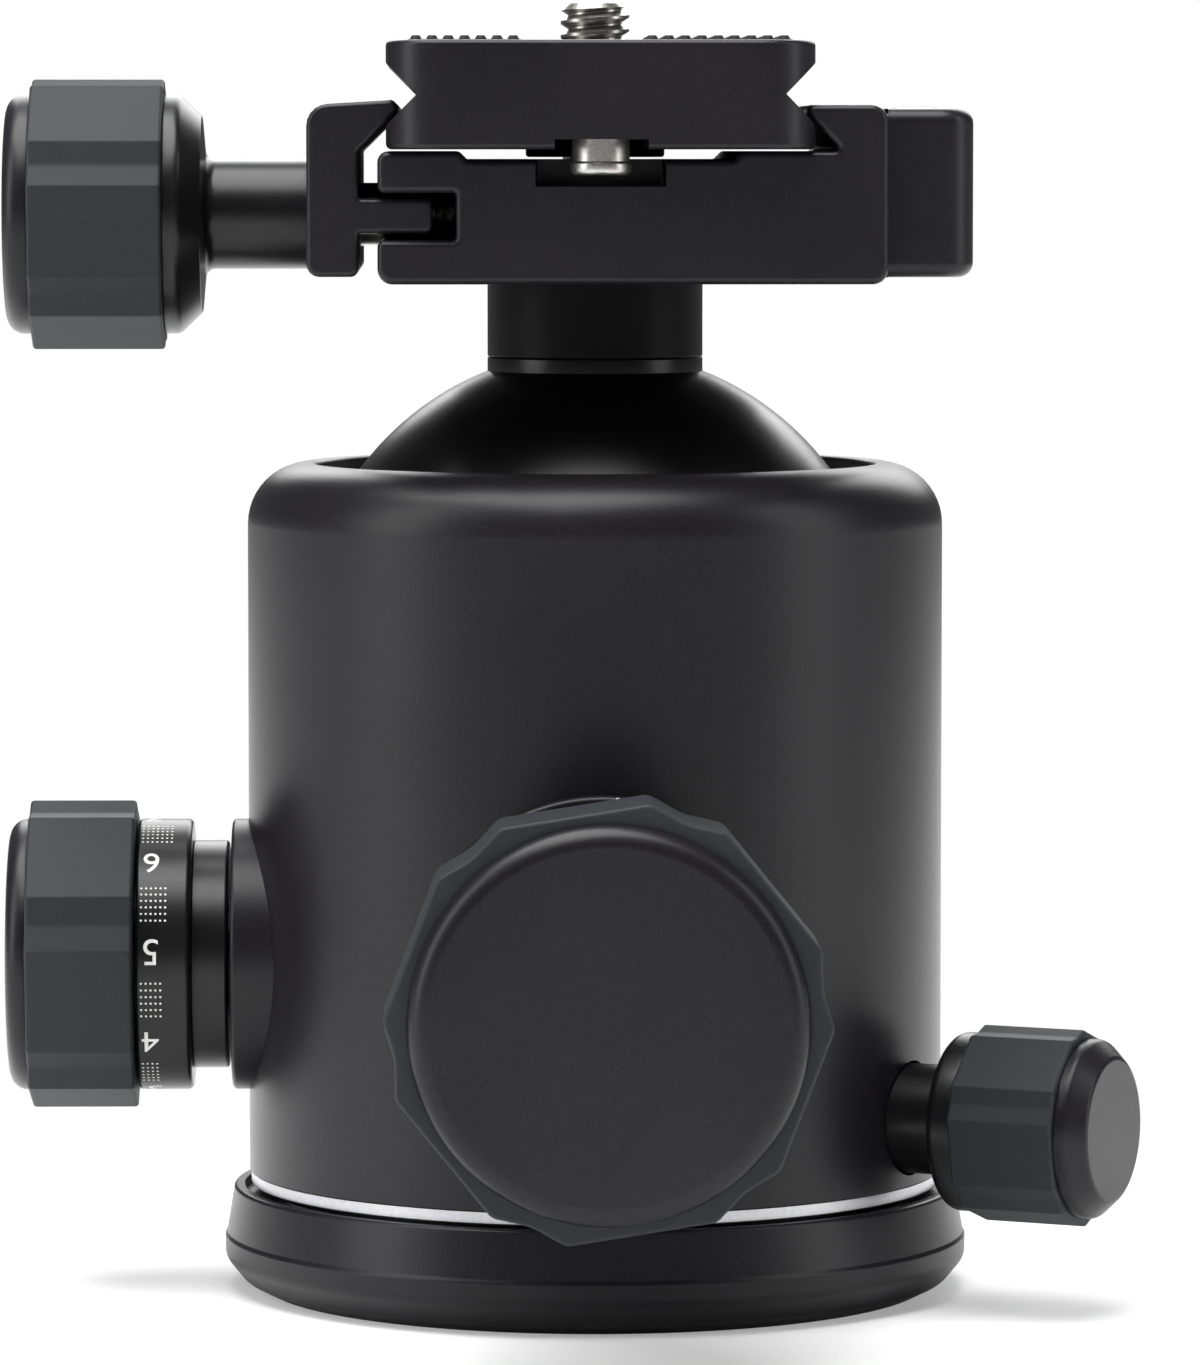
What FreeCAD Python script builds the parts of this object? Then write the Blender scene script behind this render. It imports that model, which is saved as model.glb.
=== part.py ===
import FreeCAD, Part
import math
import os
from types import SimpleNamespace

import Sketcher

# Tripod ball head with a dovetail clamp and a camera plate. All sizes are in millimetres.
# The frame stands on the pan axis at the underside of the base: +Z up, +X to the right
# and -Y towards the main lock knob.

SIZES = {
    # clearances
    "fit_gap": 0.05,
    "ball_gap": 0.1,
    "slide_gap": 0.1,
    "air_gap": 0.3,

    # base
    "foot_radius": 30.6,
    "base_radius": 34.4,
    "belly_height": 3.9,
    "belly_round": 4.3,
    "shoulder_radius": 34.1,
    "shoulder_height": 5.2,
    "rim_radius": 33.4,
    "rim_top": 9.6,
    "rim_edge": 0.4,
    "recess_radius": 32.4,
    "recess_floor": 8.6,

    # threaded insert for the tripod's 3/8 inch screw, at the size of its tapping drill
    "insert_radius": 8.0,
    "insert_thread_radius": 4.0,
    "insert_height": 12.0,
    "insert_thread_depth": 11.0,

    # pan bearing
    "washer_thickness": 0.6,
    "washer_inner_radius": 16.8,
    "lower_washer_radius": 29.5,
    "drum_neck_radius": 16.0,
    "drum_radius": 20.0,
    "drum_thickness": 7.4,
    "drum_edge": 0.4,
    "drum_void_height": 12.4,
    "groove_depth": 1.2,
    "groove_width": 1.2,
    "drum_screw_circle": 12.2,
    "drum_screw_count": 4,
    "drum_screw_radius": 2.0,
    "drum_screw_head_radius": 3.4,
    "drum_screw_head_height": 3.0,
    "drum_screw_length": 15.0,
    "drum_screw_hole_floor": 3.0,

    # housing
    "housing_radius": 32.0,
    "skirt_height": 10.9,
    "spigot_radius": 30.9,
    "floor_thickness": 4.3,
    "housing_top": 76.3,
    "housing_round": 5.6,
    "mouth_radius": 25.7,
    "mouth_round": 0.4,
    "lip_height": 69.0,
    "cavity_radius": 28.4,
    "trim_ring_radius": 31.85,
    "trim_ring_bottom": 9.8,

    # ball and its seats
    "ball_radius": 27.0,
    "ball_height": 59.6,
    "neck_radius": 9.9,
    "stub_top": 86.0,
    "stub_thread_radius": 3.0,
    "stub_thread_depth": 14.0,
    "race_bottom": 62.0,
    "cup_inner_radius": 19.0,
    "cup_bottom": 39.8,
    "cup_top": 49.0,
    "ring_inner_bottom": 37.0,
    "ring_outer_bottom": 38.2,
    "notch_gap": 1.1,

    # main lock knob, measured outwards from the pan axis
    "knob_height": 30.8,
    "knob_face": 33.5,
    "bush_inner_end": 28.6,
    "main_flange_radius": 17.4,
    "main_sleeve_radius": 10.0,
    "main_stem_radius": 6.0,
    "main_screw_radius": 4.0,
    "main_screw_tip": 15.9,
    "main_neck_radius": 14.2,
    "main_shoulder": 42.0,
    "main_cap_radius": 16.9,
    "main_collar": 44.4,
    "main_grip_start": 48.1,
    "main_grip_end": 58.4,
    "main_grip_radius": 19.1,
    "main_core_radius": 15.4,
    "main_end": 60.5,
    "main_grip_turn": 9.0,
    "main_wedge_inner": 16.8,
    "main_wedge_outer": 23.5,
    "main_wedge_width": 16.0,

    # friction knob with its dial
    "friction_flange_radius": 12.5,
    "friction_sleeve_radius": 8.0,
    "friction_stem_radius": 5.0,
    "friction_screw_radius": 3.0,
    "friction_screw_tip": 15.9,
    "friction_neck_radius": 10.5,
    "dial_start": 37.1,
    "dial_end": 42.1,
    "dial_radius": 12.5,
    "dial_edge": 0.5,
    "friction_grip_start": 42.3,
    "friction_grip_end": 52.1,
    "friction_grip_radius": 14.3,
    "friction_core_radius": 9.0,
    "friction_cap_radius": 12.5,
    "friction_end": 54.0,
    "friction_grip_turn": 17.0,
    "friction_wedge_inner": 16.8,
    "friction_wedge_outer": 22.5,
    "friction_wedge_width": 12.0,

    # pan lock knob
    "pan_height": 17.2,
    "pan_azimuth": 63.0,
    "pan_neck_radius": 5.0,
    "pan_neck_start": 31.2,
    "pan_flange_start": 37.6,
    "pan_grip_start": 39.1,
    "pan_grip_end": 49.1,
    "pan_grip_radius": 8.95,
    "pan_core_radius": 7.0,
    "pan_cap_radius": 8.1,
    "pan_end": 51.8,
    "pan_cap_round": 1.1,
    "pan_grip_turn": 0.0,
    "pan_screw_radius": 2.0,
    "pan_screw_tip": 24.6,
    "pan_guide_radius": 5.2,
    "pan_guide_inner": 21.5,
    "pan_guide_outer": 30.6,
    "pan_pad_radius": 3.5,
    "pan_pad_inner": 20.3,
    "pan_pad_outer": 28.0,
    "pan_pad_nose_radius": 1.0,
    "pan_pad_nose": 0.95,

    # clamp knob
    "clamp_axis_height": 99.1,
    "clamp_neck_radius": 5.0,
    "clamp_neck_start": 26.2,
    "clamp_shoulder": 35.7,
    "clamp_shoulder_radius": 9.0,
    "clamp_collar": 38.1,
    "clamp_cap_radius": 10.95,
    "clamp_grip_start": 39.5,
    "clamp_grip_end": 51.7,
    "clamp_grip_radius": 12.35,
    "clamp_core_radius": 9.4,
    "clamp_end": 54.0,
    "clamp_grip_turn": 22.7,
    "clamp_screw_radius": 2.9,
    "clamp_screw_tip": 6.6,

    # grips: six broad flats with a shallow hollow between each two
    "grip_flats": 6,
    "hollow_angle": 20.6,
    "hollow_depth": 0.4,
    "cap_round": 1.6,

    # clamp
    "clamp_left": 19.8,
    "clamp_right": 25.5,
    "clamp_bottom": 93.1,
    "clamp_top": 104.9,
    "clamp_length": 52.0,
    "clamp_round": 1.1,
    "clamp_edge": 0.5,
    "fixed_jaw_top": 109.0,
    "jaw_tip_edge": 0.2,
    "channel_half": 11.8,
    "channel_depth": 0.75,
    "slot_top": 101.2,
    "slot_bottom": 97.0,
    "slot_end": 12.85,
    "pin_pocket_half": 5.8,
    "pin_pocket_floor": 101.75,
    "pin_pocket_wall": 21.3,
    "boss_right": 33.7,
    "boss_bottom": 93.6,
    "boss_top": 108.7,
    "boss_length": 38.0,
    "boss_round": 1.4,
    "boss_corner": 3.0,
    "level_radius": 3.3,
    "level_depth": 4.4,
    "level_wall": 0.4,
    "level_across": 29.4,
    "bolt_radius": 2.95,
    "bolt_head_radius": 5.0,
    "bolt_head_bottom": 100.6,
    "bolt_head_height": 3.3,
    "bolt_tip": 74.0,
    "bolt_socket_radius": 2.3,
    "bolt_socket_depth": 2.0,
    "neck_pin_radius": 1.0,
    "neck_pin_offset": 6.5,
    "neck_pin_bottom": 89.5,
    "neck_pin_top": 95.8,

    # moving jaw
    "jaw_outer": 26.1,
    "jaw_inner": 21.5,
    "jaw_bottom": 93.75,
    "jaw_top": 109.0,
    "jaw_rise": 0.5,
    "jaw_tip_height": 108.8,
    "jaw_round": 2.0,
    "jaw_foot_round": 0.8,
    "jaw_length": 50.0,
    "tongue_end": 14.95,
    "tongue_bottom": 97.6,
    "tongue_top": 100.7,
    "tongue_round": 0.5,
    "tongue_split_half": 3.8,

    # jaw springs
    "spring_offset": 18.0,
    "spring_radius": 1.3,
    "spring_wire_radius": 0.2,
    "spring_turns": 8,
    "spring_hole_radius": 1.6,
    "spring_hole_end": 6.0,

    # camera plate, a 38 mm dovetail
    "plate_half": 19.04,
    "plate_bottom": 105.05,
    "plate_top": 114.7,
    "plate_length": 60.0,
    "plate_corner": 5.0,
    "plate_edge": 0.5,
    "plate_foot_round": 0.7,
    "dovetail_depth": 2.78,
    "dovetail_height": 109.94,
    "groove_half": 4.15,
    "groove_top": 105.95,
    "pad_inset": 0.35,
    "pad_proud": 0.4,
    "pad_left_out": 17.1,
    "pad_left_in": 7.0,
    "pad_right_in": 3.9,
    "pad_right_out": 17.1,
    "pad_half_length": 24.0,
    "pin_offset": 26.2,
    "pin_radius": 2.7,
    "pin_bottom": 102.8,
    "pin_waist_radius": 2.55,
    "pin_rim_height": 1.2,
    "pin_chamfer": 0.4,
    "pin_thread_radius": 1.4,
    "pin_thread_top": 109.5,

    # camera screw, 1/4 inch
    "screw_radius": 3.175,
    "screw_tip": 118.4,
    "screw_chamfer": 0.6,
    "screw_relief_radius": 2.5,
    "screw_head_radius": 6.5,
    "screw_head_bottom": 104.3,
    "screw_head_top": 106.8,
    "screw_head_chamfer": 0.4,
    "screw_socket_radius": 2.3,
    "screw_socket_depth": 1.8,
    "head_pocket_radius": 6.8,
    "head_pocket_top": 107.0,
    "clip_pocket_radius": 5.0,
    "clip_pocket_floor": 112.4,
    "clip_radius": 4.7,
    "clip_thickness": 0.6,
}

DOCUMENT_NAME = "BallHead"
SHEET_NAME = "Sizes"
FULL_TURN = 360.0
QUARTER_TURN = 90.0


class Size:
    """A number together with the sheet's expression that gives it."""

    def __init__(self, value, text):
        self.value = value
        self.text = text

    def __add__(self, other):
        other = as_size(other)
        return Size(self.value + other.value, f"({self.text} + {other.text})")

    def __sub__(self, other):
        other = as_size(other)
        return Size(self.value - other.value, f"({self.text} - {other.text})")

    def __mul__(self, other):
        other = as_size(other)
        return Size(self.value * other.value, f"({self.text} * {other.text})")

    def __truediv__(self, other):
        other = as_size(other)
        return Size(self.value / other.value, f"({self.text} / {other.text})")

    def __neg__(self):
        return Size(-self.value, f"(0 - {self.text})")

    __radd__ = __add__
    __rmul__ = __mul__


def as_size(number):
    if isinstance(number, Size):
        return number
    return Size(float(number), repr(float(number)))


def root(size):
    return Size(math.sqrt(size.value), f"sqrt({size.text})")


def cosine(size):
    return Size(math.cos(math.radians(size.value)), f"cos({size.text})")


def sine(size):
    return Size(math.sin(math.radians(size.value)), f"sin({size.text})")


def sphere_side(radius, above_centre):
    """The distance from the axis to a sphere's surface, at a height above its centre."""
    return root(radius * radius - above_centre * above_centre)


doc = FreeCAD.newDocument(DOCUMENT_NAME)
sheet = doc.addObject("Spreadsheet::Sheet", SHEET_NAME)
for row, (size_name, number) in enumerate(SIZES.items(), start=1):
    sheet.set(f"A{row}", size_name)
    sheet.set(f"B{row}", str(number))
    sheet.setAlias(f"B{row}", size_name)
doc.recompute()
s = SimpleNamespace(**{name: Size(float(number), f"{SHEET_NAME}.{name}") for name, number in SIZES.items()})

pieces = []


# Drawing and feature helpers


def new_piece(label):
    body = doc.addObject("PartDesign::Body", label)
    body.Label = label
    body.AllowCompound = True
    pieces.append(body)
    return body


def origin_plane(body, role):
    return next(item for item in body.Origin.OriginFeatures if item.Role == role)


def new_sketch(body, role, lift=None, turn=0.0):
    """A sketch on one of the piece's own planes, lifted along its normal and turned about it."""
    sketch = body.newObject("Sketcher::SketchObject", f"{body.Label}_sketch")
    sketch.AttachmentSupport = [(origin_plane(body, role), "")]
    sketch.MapMode = "FlatFace"
    if turn:
        turn = as_size(turn)
        turned = FreeCAD.Rotation(FreeCAD.Vector(0, 0, 1), turn.value)
        sketch.AttachmentOffset = FreeCAD.Placement(FreeCAD.Vector(), turned)
        sketch.setExpression("AttachmentOffset.Rotation.Angle", turn.text)
    if lift is not None:
        sketch.setExpression("AttachmentOffset.Base.z", lift.text)
    return sketch


def hold(sketch, kind, geometry, point, size):
    """Ties one coordinate of a sketch point to its size."""
    size = as_size(size)
    if size.text == "0.0":
        axis = -2 if kind == "DistanceX" else -1
        sketch.addConstraint(Sketcher.Constraint("PointOnObject", geometry, point, axis))
        return
    index = sketch.addConstraint(Sketcher.Constraint(kind, -1, 1, geometry, point, size.value))
    sketch.setExpression(f"Constraints[{index}]", size.text)


def draw_outline(sketch, outline):
    """A closed outline. Each point is (x, y), or (x, y, radius) for an arc that ends there.

    The outline runs anticlockwise: a positive radius bulges outwards and a negative one inwards.
    """
    corners = [FreeCAD.Vector(as_size(p[0]).value, as_size(p[1]).value, 0) for p in outline]
    ends = []
    for index, point in enumerate(outline):
        start = corners[index - 1]
        finish = corners[index]
        if len(point) == 2:
            geometry = sketch.addGeometry(Part.LineSegment(start, finish), False)
            ends.append((geometry, 1, 2))
            continue
        radius = point[2]
        chord = finish - start
        half = chord.Length / 2
        side = FreeCAD.Vector(-chord.y, chord.x, 0).normalize()
        away = math.sqrt(max(radius.value ** 2 - half ** 2, 0))
        centre = (start + finish) * 0.5 + side * math.copysign(away, radius.value)
        first, last = (start, finish) if radius.value > 0 else (finish, start)
        circle = Part.Circle(centre, FreeCAD.Vector(0, 0, 1), abs(radius.value))
        angles = [math.atan2(p.y - centre.y, p.x - centre.x) for p in (first, last)]
        geometry = sketch.addGeometry(Part.ArcOfCircle(circle, *angles), False)
        ends.append((geometry, 1, 2) if radius.value > 0 else (geometry, 2, 1))
    for index, (geometry, start_point, end_point) in enumerate(ends):
        following, following_start, _ = ends[(index + 1) % len(ends)]
        sketch.addConstraint(Sketcher.Constraint("Coincident", geometry, end_point, following, following_start))
        hold(sketch, "DistanceX", geometry, end_point, outline[index][0])
        hold(sketch, "DistanceY", geometry, end_point, outline[index][1])
        if len(outline[index]) == 3:
            radius = outline[index][2]
            bend = sketch.addConstraint(Sketcher.Constraint("Radius", geometry, abs(radius.value)))
            sketch.setExpression(f"Constraints[{bend}]", f"abs({radius.text})")


def draw_circle(sketch, radius, x=0, y=0):
    x = as_size(x)
    y = as_size(y)
    centre = FreeCAD.Vector(x.value, y.value, 0)
    geometry = sketch.addGeometry(Part.Circle(centre, FreeCAD.Vector(0, 0, 1), radius.value), False)
    index = sketch.addConstraint(Sketcher.Constraint("Radius", geometry, radius.value))
    sketch.setExpression(f"Constraints[{index}]", radius.text)
    hold(sketch, "DistanceX", geometry, 3, x)
    hold(sketch, "DistanceY", geometry, 3, y)


def box_outline(left, bottom, right, top):
    return [(left, bottom), (right, bottom), (right, top), (left, top)]


def feature(body, kind, sketch, label):
    item = body.newObject(f"PartDesign::{kind}", f"{body.Label}_{label}")
    item.Profile = sketch
    sketch.Visibility = False
    return item


def revolve(body, outline, label="turned"):
    sketch = new_sketch(body, "XZ_Plane")
    draw_outline(sketch, outline)
    item = feature(body, "Revolution", sketch, label)
    item.ReferenceAxis = (sketch, ["V_Axis"])
    item.Angle = FULL_TURN
    return item


def groove(body, outline, label="groove"):
    sketch = new_sketch(body, "XZ_Plane")
    draw_outline(sketch, outline)
    item = feature(body, "Groove", sketch, label)
    item.ReferenceAxis = (sketch, ["V_Axis"])
    item.Angle = FULL_TURN
    return item


def pad(body, sketch, length, symmetric=False, label="pad", back=False):
    item = feature(body, "Pad", sketch, label)
    item.SideType = "Symmetric" if symmetric else "One side"
    item.Reversed = back
    item.setExpression("Length", as_size(length).text)
    return item


def cut(body, sketch, length, back=False, symmetric=False, label="cut"):
    """A pocket. It runs against the sketch's normal, or along it where back is true."""
    item = feature(body, "Pocket", sketch, label)
    item.SideType = "Symmetric" if symmetric else "One side"
    item.Reversed = back
    item.setExpression("Length", as_size(length).text)
    return item


def repeat(body, originals, count):
    pattern = body.newObject("PartDesign::PolarPattern", f"{body.Label}_pattern")
    pattern.Originals = originals
    pattern.Axis = (origin_axis(body, "Z_Axis"), [""])
    pattern.Angle = FULL_TURN
    pattern.setExpression("Occurrences", count.text)
    body.Tip = pattern
    return pattern


def origin_axis(body, role):
    return next(item for item in body.Origin.OriginFeatures if item.Role == role)


def soften(body, radius, wanted, label="fillet"):
    """Rounds the edges of the last feature that wanted picks."""
    doc.recompute()
    base = body.Tip
    edges = [f"Edge{index}" for index, edge in enumerate(base.Shape.Edges, start=1) if wanted(edge)]
    item = body.newObject("PartDesign::Fillet", f"{body.Label}_{label}")
    item.Base = (base, edges)
    item.setExpression("Radius", radius.text)
    return item


def put(body, height, azimuth=None):
    """Stands a piece at a height, or lays its axis outwards: azimuth 0 points at -Y."""
    height = as_size(height)
    if azimuth is None:
        body.setExpression("Placement.Base.z", height.text)
        return
    turns = f"rotationz({as_size(azimuth).text}) * rotationx({QUARTER_TURN})"
    body.setExpression("Placement", f"placement(vector(0; 0; {height.text}); {turns})")


def turned_piece(label, outline):
    body = new_piece(label)
    revolve(body, outline)
    return body


def tube(inner, outer, bottom, top):
    return [(inner, bottom), (outer, bottom), (outer, top), (inner, top)]


def socket(body, radius, depth, top, back=False):
    """A hexagon socket, sunk from a face at height top."""
    sketch = new_sketch(body, "XY_Plane", lift=top)
    half = radius * 0.5
    across = radius * cosine(as_size(30.0))
    draw_outline(sketch, [(radius, 0), (half, across), (-half, across), (-radius, 0),
                          (-half, -across), (half, -across)])
    return cut(body, sketch, depth, back=back, label="socket")


main_azimuth = as_size(0.0)
left_azimuth = as_size(-QUARTER_TURN)
pan_azimuth = s.pan_azimuth

# Base plate: a low dish with a rounded foot, a tapered rim and a recess for the trim ring

insert_bore = s.insert_radius + s.fit_gap
turned_piece("base_plate", [
    (insert_bore, 0),
    (s.foot_radius, 0),
    (s.base_radius, s.belly_height, s.belly_round),
    (s.shoulder_radius, s.shoulder_height),
    (s.rim_radius, s.rim_top - s.rim_edge),
    (s.rim_radius - s.rim_edge, s.rim_top, s.rim_edge),
    (s.recess_radius, s.rim_top),
    (s.recess_radius, s.recess_floor),
    (insert_bore, s.recess_floor),
])
base_plate = pieces[-1]
doc.recompute()
sketch = new_sketch(base_plate, "XY_Plane", lift=s.recess_floor)
draw_circle(sketch, s.drum_screw_radius + s.fit_gap, s.drum_screw_circle)
hole = cut(base_plate, sketch, s.recess_floor - s.drum_screw_hole_floor, label="screw_hole")
repeat(base_plate, [hole], s.drum_screw_count)

# Threaded insert for the tripod's screw

turned_piece("tripod_insert", [
    (s.insert_thread_radius, 0),
    (s.insert_radius, 0),
    (s.insert_radius, s.insert_height),
    (0, s.insert_height),
    (0, s.insert_thread_depth),
    (s.insert_thread_radius, s.insert_thread_depth),
])

# Pan bearing: two slip washers and a grooved drum that holds the housing's floor down

washer_top = s.recess_floor + s.washer_thickness
floor_bottom = washer_top + s.fit_gap
floor_top = floor_bottom + s.floor_thickness
upper_washer_top = floor_top + s.washer_thickness
drum_bottom = upper_washer_top + s.fit_gap
drum_top = drum_bottom + s.drum_thickness
turned_piece("pan_washer_lower", tube(s.washer_inner_radius, s.lower_washer_radius, s.recess_floor, washer_top))
turned_piece("pan_washer_upper", tube(s.washer_inner_radius, s.drum_radius, floor_top, upper_washer_top))
drum = turned_piece("pan_drum", [
    (insert_bore, s.recess_floor),
    (s.drum_neck_radius, s.recess_floor),
    (s.drum_neck_radius, drum_bottom),
    (s.drum_radius, drum_bottom),
    (s.drum_radius, s.pan_height - s.groove_width / 2.0 - s.groove_depth),
    (s.drum_radius - s.groove_depth, s.pan_height - s.groove_width / 2.0),
    (s.drum_radius - s.groove_depth, s.pan_height + s.groove_width / 2.0),
    (s.drum_radius, s.pan_height + s.groove_width / 2.0 + s.groove_depth),
    (s.drum_radius, drum_top - s.drum_edge),
    (s.drum_radius - s.drum_edge, drum_top),
    (0, drum_top),
    (0, s.drum_void_height),
    (insert_bore, s.drum_void_height),
])
doc.recompute()
head_seat = drum_top - s.drum_screw_head_height - s.air_gap
sketch = new_sketch(drum, "XY_Plane", lift=drum_top)
draw_circle(sketch, s.drum_screw_radius + s.fit_gap, s.drum_screw_circle)
shank_hole = cut(drum, sketch, drum_top - s.recess_floor, label="shank_hole")
sketch = new_sketch(drum, "XY_Plane", lift=drum_top)
draw_circle(sketch, s.drum_screw_head_radius + s.fit_gap, s.drum_screw_circle)
head_hole = cut(drum, sketch, drum_top - head_seat, label="head_hole")
repeat(drum, [shank_hole, head_hole], s.drum_screw_count)

drum_screws = new_piece("drum_screws")
sketch = new_sketch(drum_screws, "XY_Plane", lift=head_seat)
draw_circle(sketch, s.drum_screw_head_radius, s.drum_screw_circle)
heads = pad(drum_screws, sketch, s.drum_screw_head_height, label="head")
sketch = new_sketch(drum_screws, "XY_Plane", lift=head_seat)
draw_circle(sketch, s.drum_screw_radius, s.drum_screw_circle)
shanks = pad(drum_screws, sketch, s.drum_screw_length, back=True, label="shank")
repeat(drum_screws, [heads, shanks], s.drum_screw_count)

# Housing: one turned shell with a rounded rim, a lip above the ball and bores for the knobs

housing = turned_piece("housing", [
    (s.drum_neck_radius + s.ball_gap, floor_bottom),
    (s.spigot_radius, floor_bottom),
    (s.spigot_radius, s.skirt_height),
    (s.housing_radius, s.skirt_height),
    (s.housing_radius, s.housing_top - s.housing_round),
    (s.housing_radius - s.housing_round, s.housing_top, s.housing_round),
    (s.mouth_radius + s.mouth_round, s.housing_top),
    (s.mouth_radius, s.housing_top - s.mouth_round, s.mouth_round),
    (s.mouth_radius, s.lip_height),
    (s.cavity_radius, s.lip_height),
    (s.cavity_radius, floor_top),
    (s.drum_neck_radius + s.ball_gap, floor_top),
])
doc.recompute()
sketch = new_sketch(housing, "XZ_Plane")
draw_circle(sketch, s.main_sleeve_radius + s.fit_gap, 0, s.knob_height)
cut(housing, sketch, s.base_radius, back=True, label="main_bore")
sketch = new_sketch(housing, "YZ_Plane")
draw_circle(sketch, s.friction_sleeve_radius + s.fit_gap, 0, s.knob_height)
cut(housing, sketch, s.base_radius, label="friction_bore")

notch_half = s.neck_radius + s.notch_gap


def cut_notch(body):
    """The drop notch at the back: as wide as the neck and its gap, with a round floor."""
    sketch = new_sketch(body, "XZ_Plane")
    draw_outline(sketch, [
        (-notch_half, s.ball_height),
        (0, s.ball_height - notch_half, notch_half),
        (notch_half, s.ball_height, notch_half),
        (notch_half, s.housing_top + s.housing_round),
        (-notch_half, s.housing_top + s.housing_round),
    ])
    return cut(body, sketch, s.base_radius, label="drop_notch")


cut_notch(housing)

# The pan lock's bore points outwards between the other two, so its sketch is turned and moved out
bore_start = s.pan_guide_inner - s.air_gap
pan_bore = new_sketch(housing, "XZ_Plane")
across = (bore_start * sine(pan_azimuth)).text
outwards = (bore_start * cosine(pan_azimuth)).text
turn = f"rotationy({pan_azimuth.text})"
pan_bore.setExpression("AttachmentOffset", f"placement(vector({across}; 0; {outwards}); {turn})")
draw_circle(pan_bore, s.pan_guide_radius + s.fit_gap, 0, s.pan_height)
cut(housing, pan_bore, s.base_radius, back=True, label="pan_bore")

turned_piece("trim_ring", tube(s.spigot_radius + s.fit_gap, s.trim_ring_radius, s.trim_ring_bottom, s.skirt_height))

# Upper race, held under the housing's lip, and the parts that press the ball up against it

seat_radius = s.ball_radius + s.ball_gap
race_top = s.lip_height - s.fit_gap
race = turned_piece("upper_race", [
    (sphere_side(seat_radius, s.race_bottom - s.ball_height), s.race_bottom, -seat_radius),
    (s.cavity_radius - s.fit_gap, s.race_bottom),
    (s.cavity_radius - s.fit_gap, race_top),
    (sphere_side(seat_radius, race_top - s.ball_height), race_top),
])
doc.recompute()
cut_notch(race)

bore_radius = s.cavity_radius - s.ball_gap
seat_edge = s.ball_height - sphere_side(seat_radius, s.cup_inner_radius)
turned_piece("ball_cup", [
    (s.cup_inner_radius, s.cup_bottom),
    (bore_radius, s.cup_bottom),
    (bore_radius, s.cup_top),
    (sphere_side(seat_radius, s.ball_height - s.cup_top), s.cup_top),
    (s.cup_inner_radius, seat_edge, -seat_radius),
])
turned_piece("lift_ring", [
    (s.cup_inner_radius, s.ring_inner_bottom),
    (bore_radius, s.ring_outer_bottom),
    (bore_radius, s.cup_bottom),
    (s.cup_inner_radius, s.cup_bottom),
])

# Ball with its stub, the neck above it and the bolt that holds both to the clamp

turned_piece("ball", [
    (s.neck_radius, s.ball_height + sphere_side(s.ball_radius, s.neck_radius), s.ball_radius),
    (s.neck_radius, s.stub_top),
    (s.stub_thread_radius + s.fit_gap, s.stub_top),
    (s.stub_thread_radius + s.fit_gap, s.stub_top - s.stub_thread_depth),
    (0, s.stub_top - s.stub_thread_depth),
    (0, s.ball_height - s.ball_radius),
])
bolt_hole_radius = s.bolt_radius + s.fit_gap
neck = turned_piece("neck", tube(bolt_hole_radius, s.neck_radius, s.stub_top + s.fit_gap, s.clamp_bottom))


def pin_circles(sketch, radius):
    draw_circle(sketch, radius, s.neck_pin_offset)
    draw_circle(sketch, radius, -s.neck_pin_offset)


doc.recompute()
sketch = new_sketch(neck, "XY_Plane", lift=s.clamp_bottom)
pin_circles(sketch, s.neck_pin_radius + s.fit_gap)
cut(neck, sketch, s.clamp_bottom - s.neck_pin_bottom + s.fit_gap, label="pin_holes")

neck_pins = new_piece("neck_pins")
sketch = new_sketch(neck_pins, "XY_Plane", lift=s.neck_pin_bottom)
pin_circles(sketch, s.neck_pin_radius)
pad(neck_pins, sketch, s.neck_pin_top - s.neck_pin_bottom)

bolt = turned_piece("clamp_bolt", [
    (0, s.bolt_tip),
    (s.bolt_radius, s.bolt_tip),
    (s.bolt_radius, s.bolt_head_bottom),
    (s.bolt_head_radius, s.bolt_head_bottom),
    (s.bolt_head_radius, s.bolt_head_bottom + s.bolt_head_height),
    (0, s.bolt_head_bottom + s.bolt_head_height),
])
doc.recompute()
socket(bolt, s.bolt_socket_radius, s.bolt_socket_depth, s.bolt_head_bottom + s.bolt_head_height)


# Knobs. Each is drawn with its axis along Z, measured outwards from the pan axis


def bush(label, height, azimuth, flange_radius, sleeve_radius, bore_radius):
    """A round flange whose back is hollowed to sit on the housing, with a sleeve through its wall."""
    body = new_piece(label)
    depth = s.knob_face - s.bush_inner_end
    sketch = new_sketch(body, "XY_Plane", lift=s.bush_inner_end)
    draw_circle(sketch, flange_radius)
    pad(body, sketch, depth, label="flange")
    sketch = new_sketch(body, "XZ_Plane")
    draw_circle(sketch, s.housing_radius + s.fit_gap)
    cut(body, sketch, flange_radius * 3.0, symmetric=True, label="saddle")
    sketch = new_sketch(body, "XY_Plane", lift=s.bush_inner_end)
    draw_circle(sketch, sleeve_radius)
    pad(body, sketch, depth, label="sleeve")
    sketch = new_sketch(body, "XY_Plane", lift=s.bush_inner_end)
    draw_circle(sketch, bore_radius)
    cut(body, sketch, depth, back=True, label="bore")
    put(body, height, azimuth)


def grip(label, height, azimuth, outer, inner, start, finish, turn):
    """A grip ring: flats between corners on the outer radius, and a hollow at each corner."""
    body = new_piece(label)
    step = as_size(FULL_TURN) / s.grip_flats
    half = s.hollow_angle / 2.0
    half_chord = outer * sine(half)
    bend = (half_chord * half_chord + s.hollow_depth * s.hollow_depth) / (s.hollow_depth * 2.0)
    outline = []
    for index in range(int(s.grip_flats.value)):
        middle = turn + step * float(index)
        outline.append((outer * cosine(middle - half), outer * sine(middle - half)))
        outline.append((outer * cosine(middle + half), outer * sine(middle + half), -bend))
    sketch = new_sketch(body, "XY_Plane", lift=start)
    draw_outline(sketch, outline)
    draw_circle(sketch, inner)
    pad(body, sketch, finish - start, label="ring")
    put(body, height, azimuth)


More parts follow.
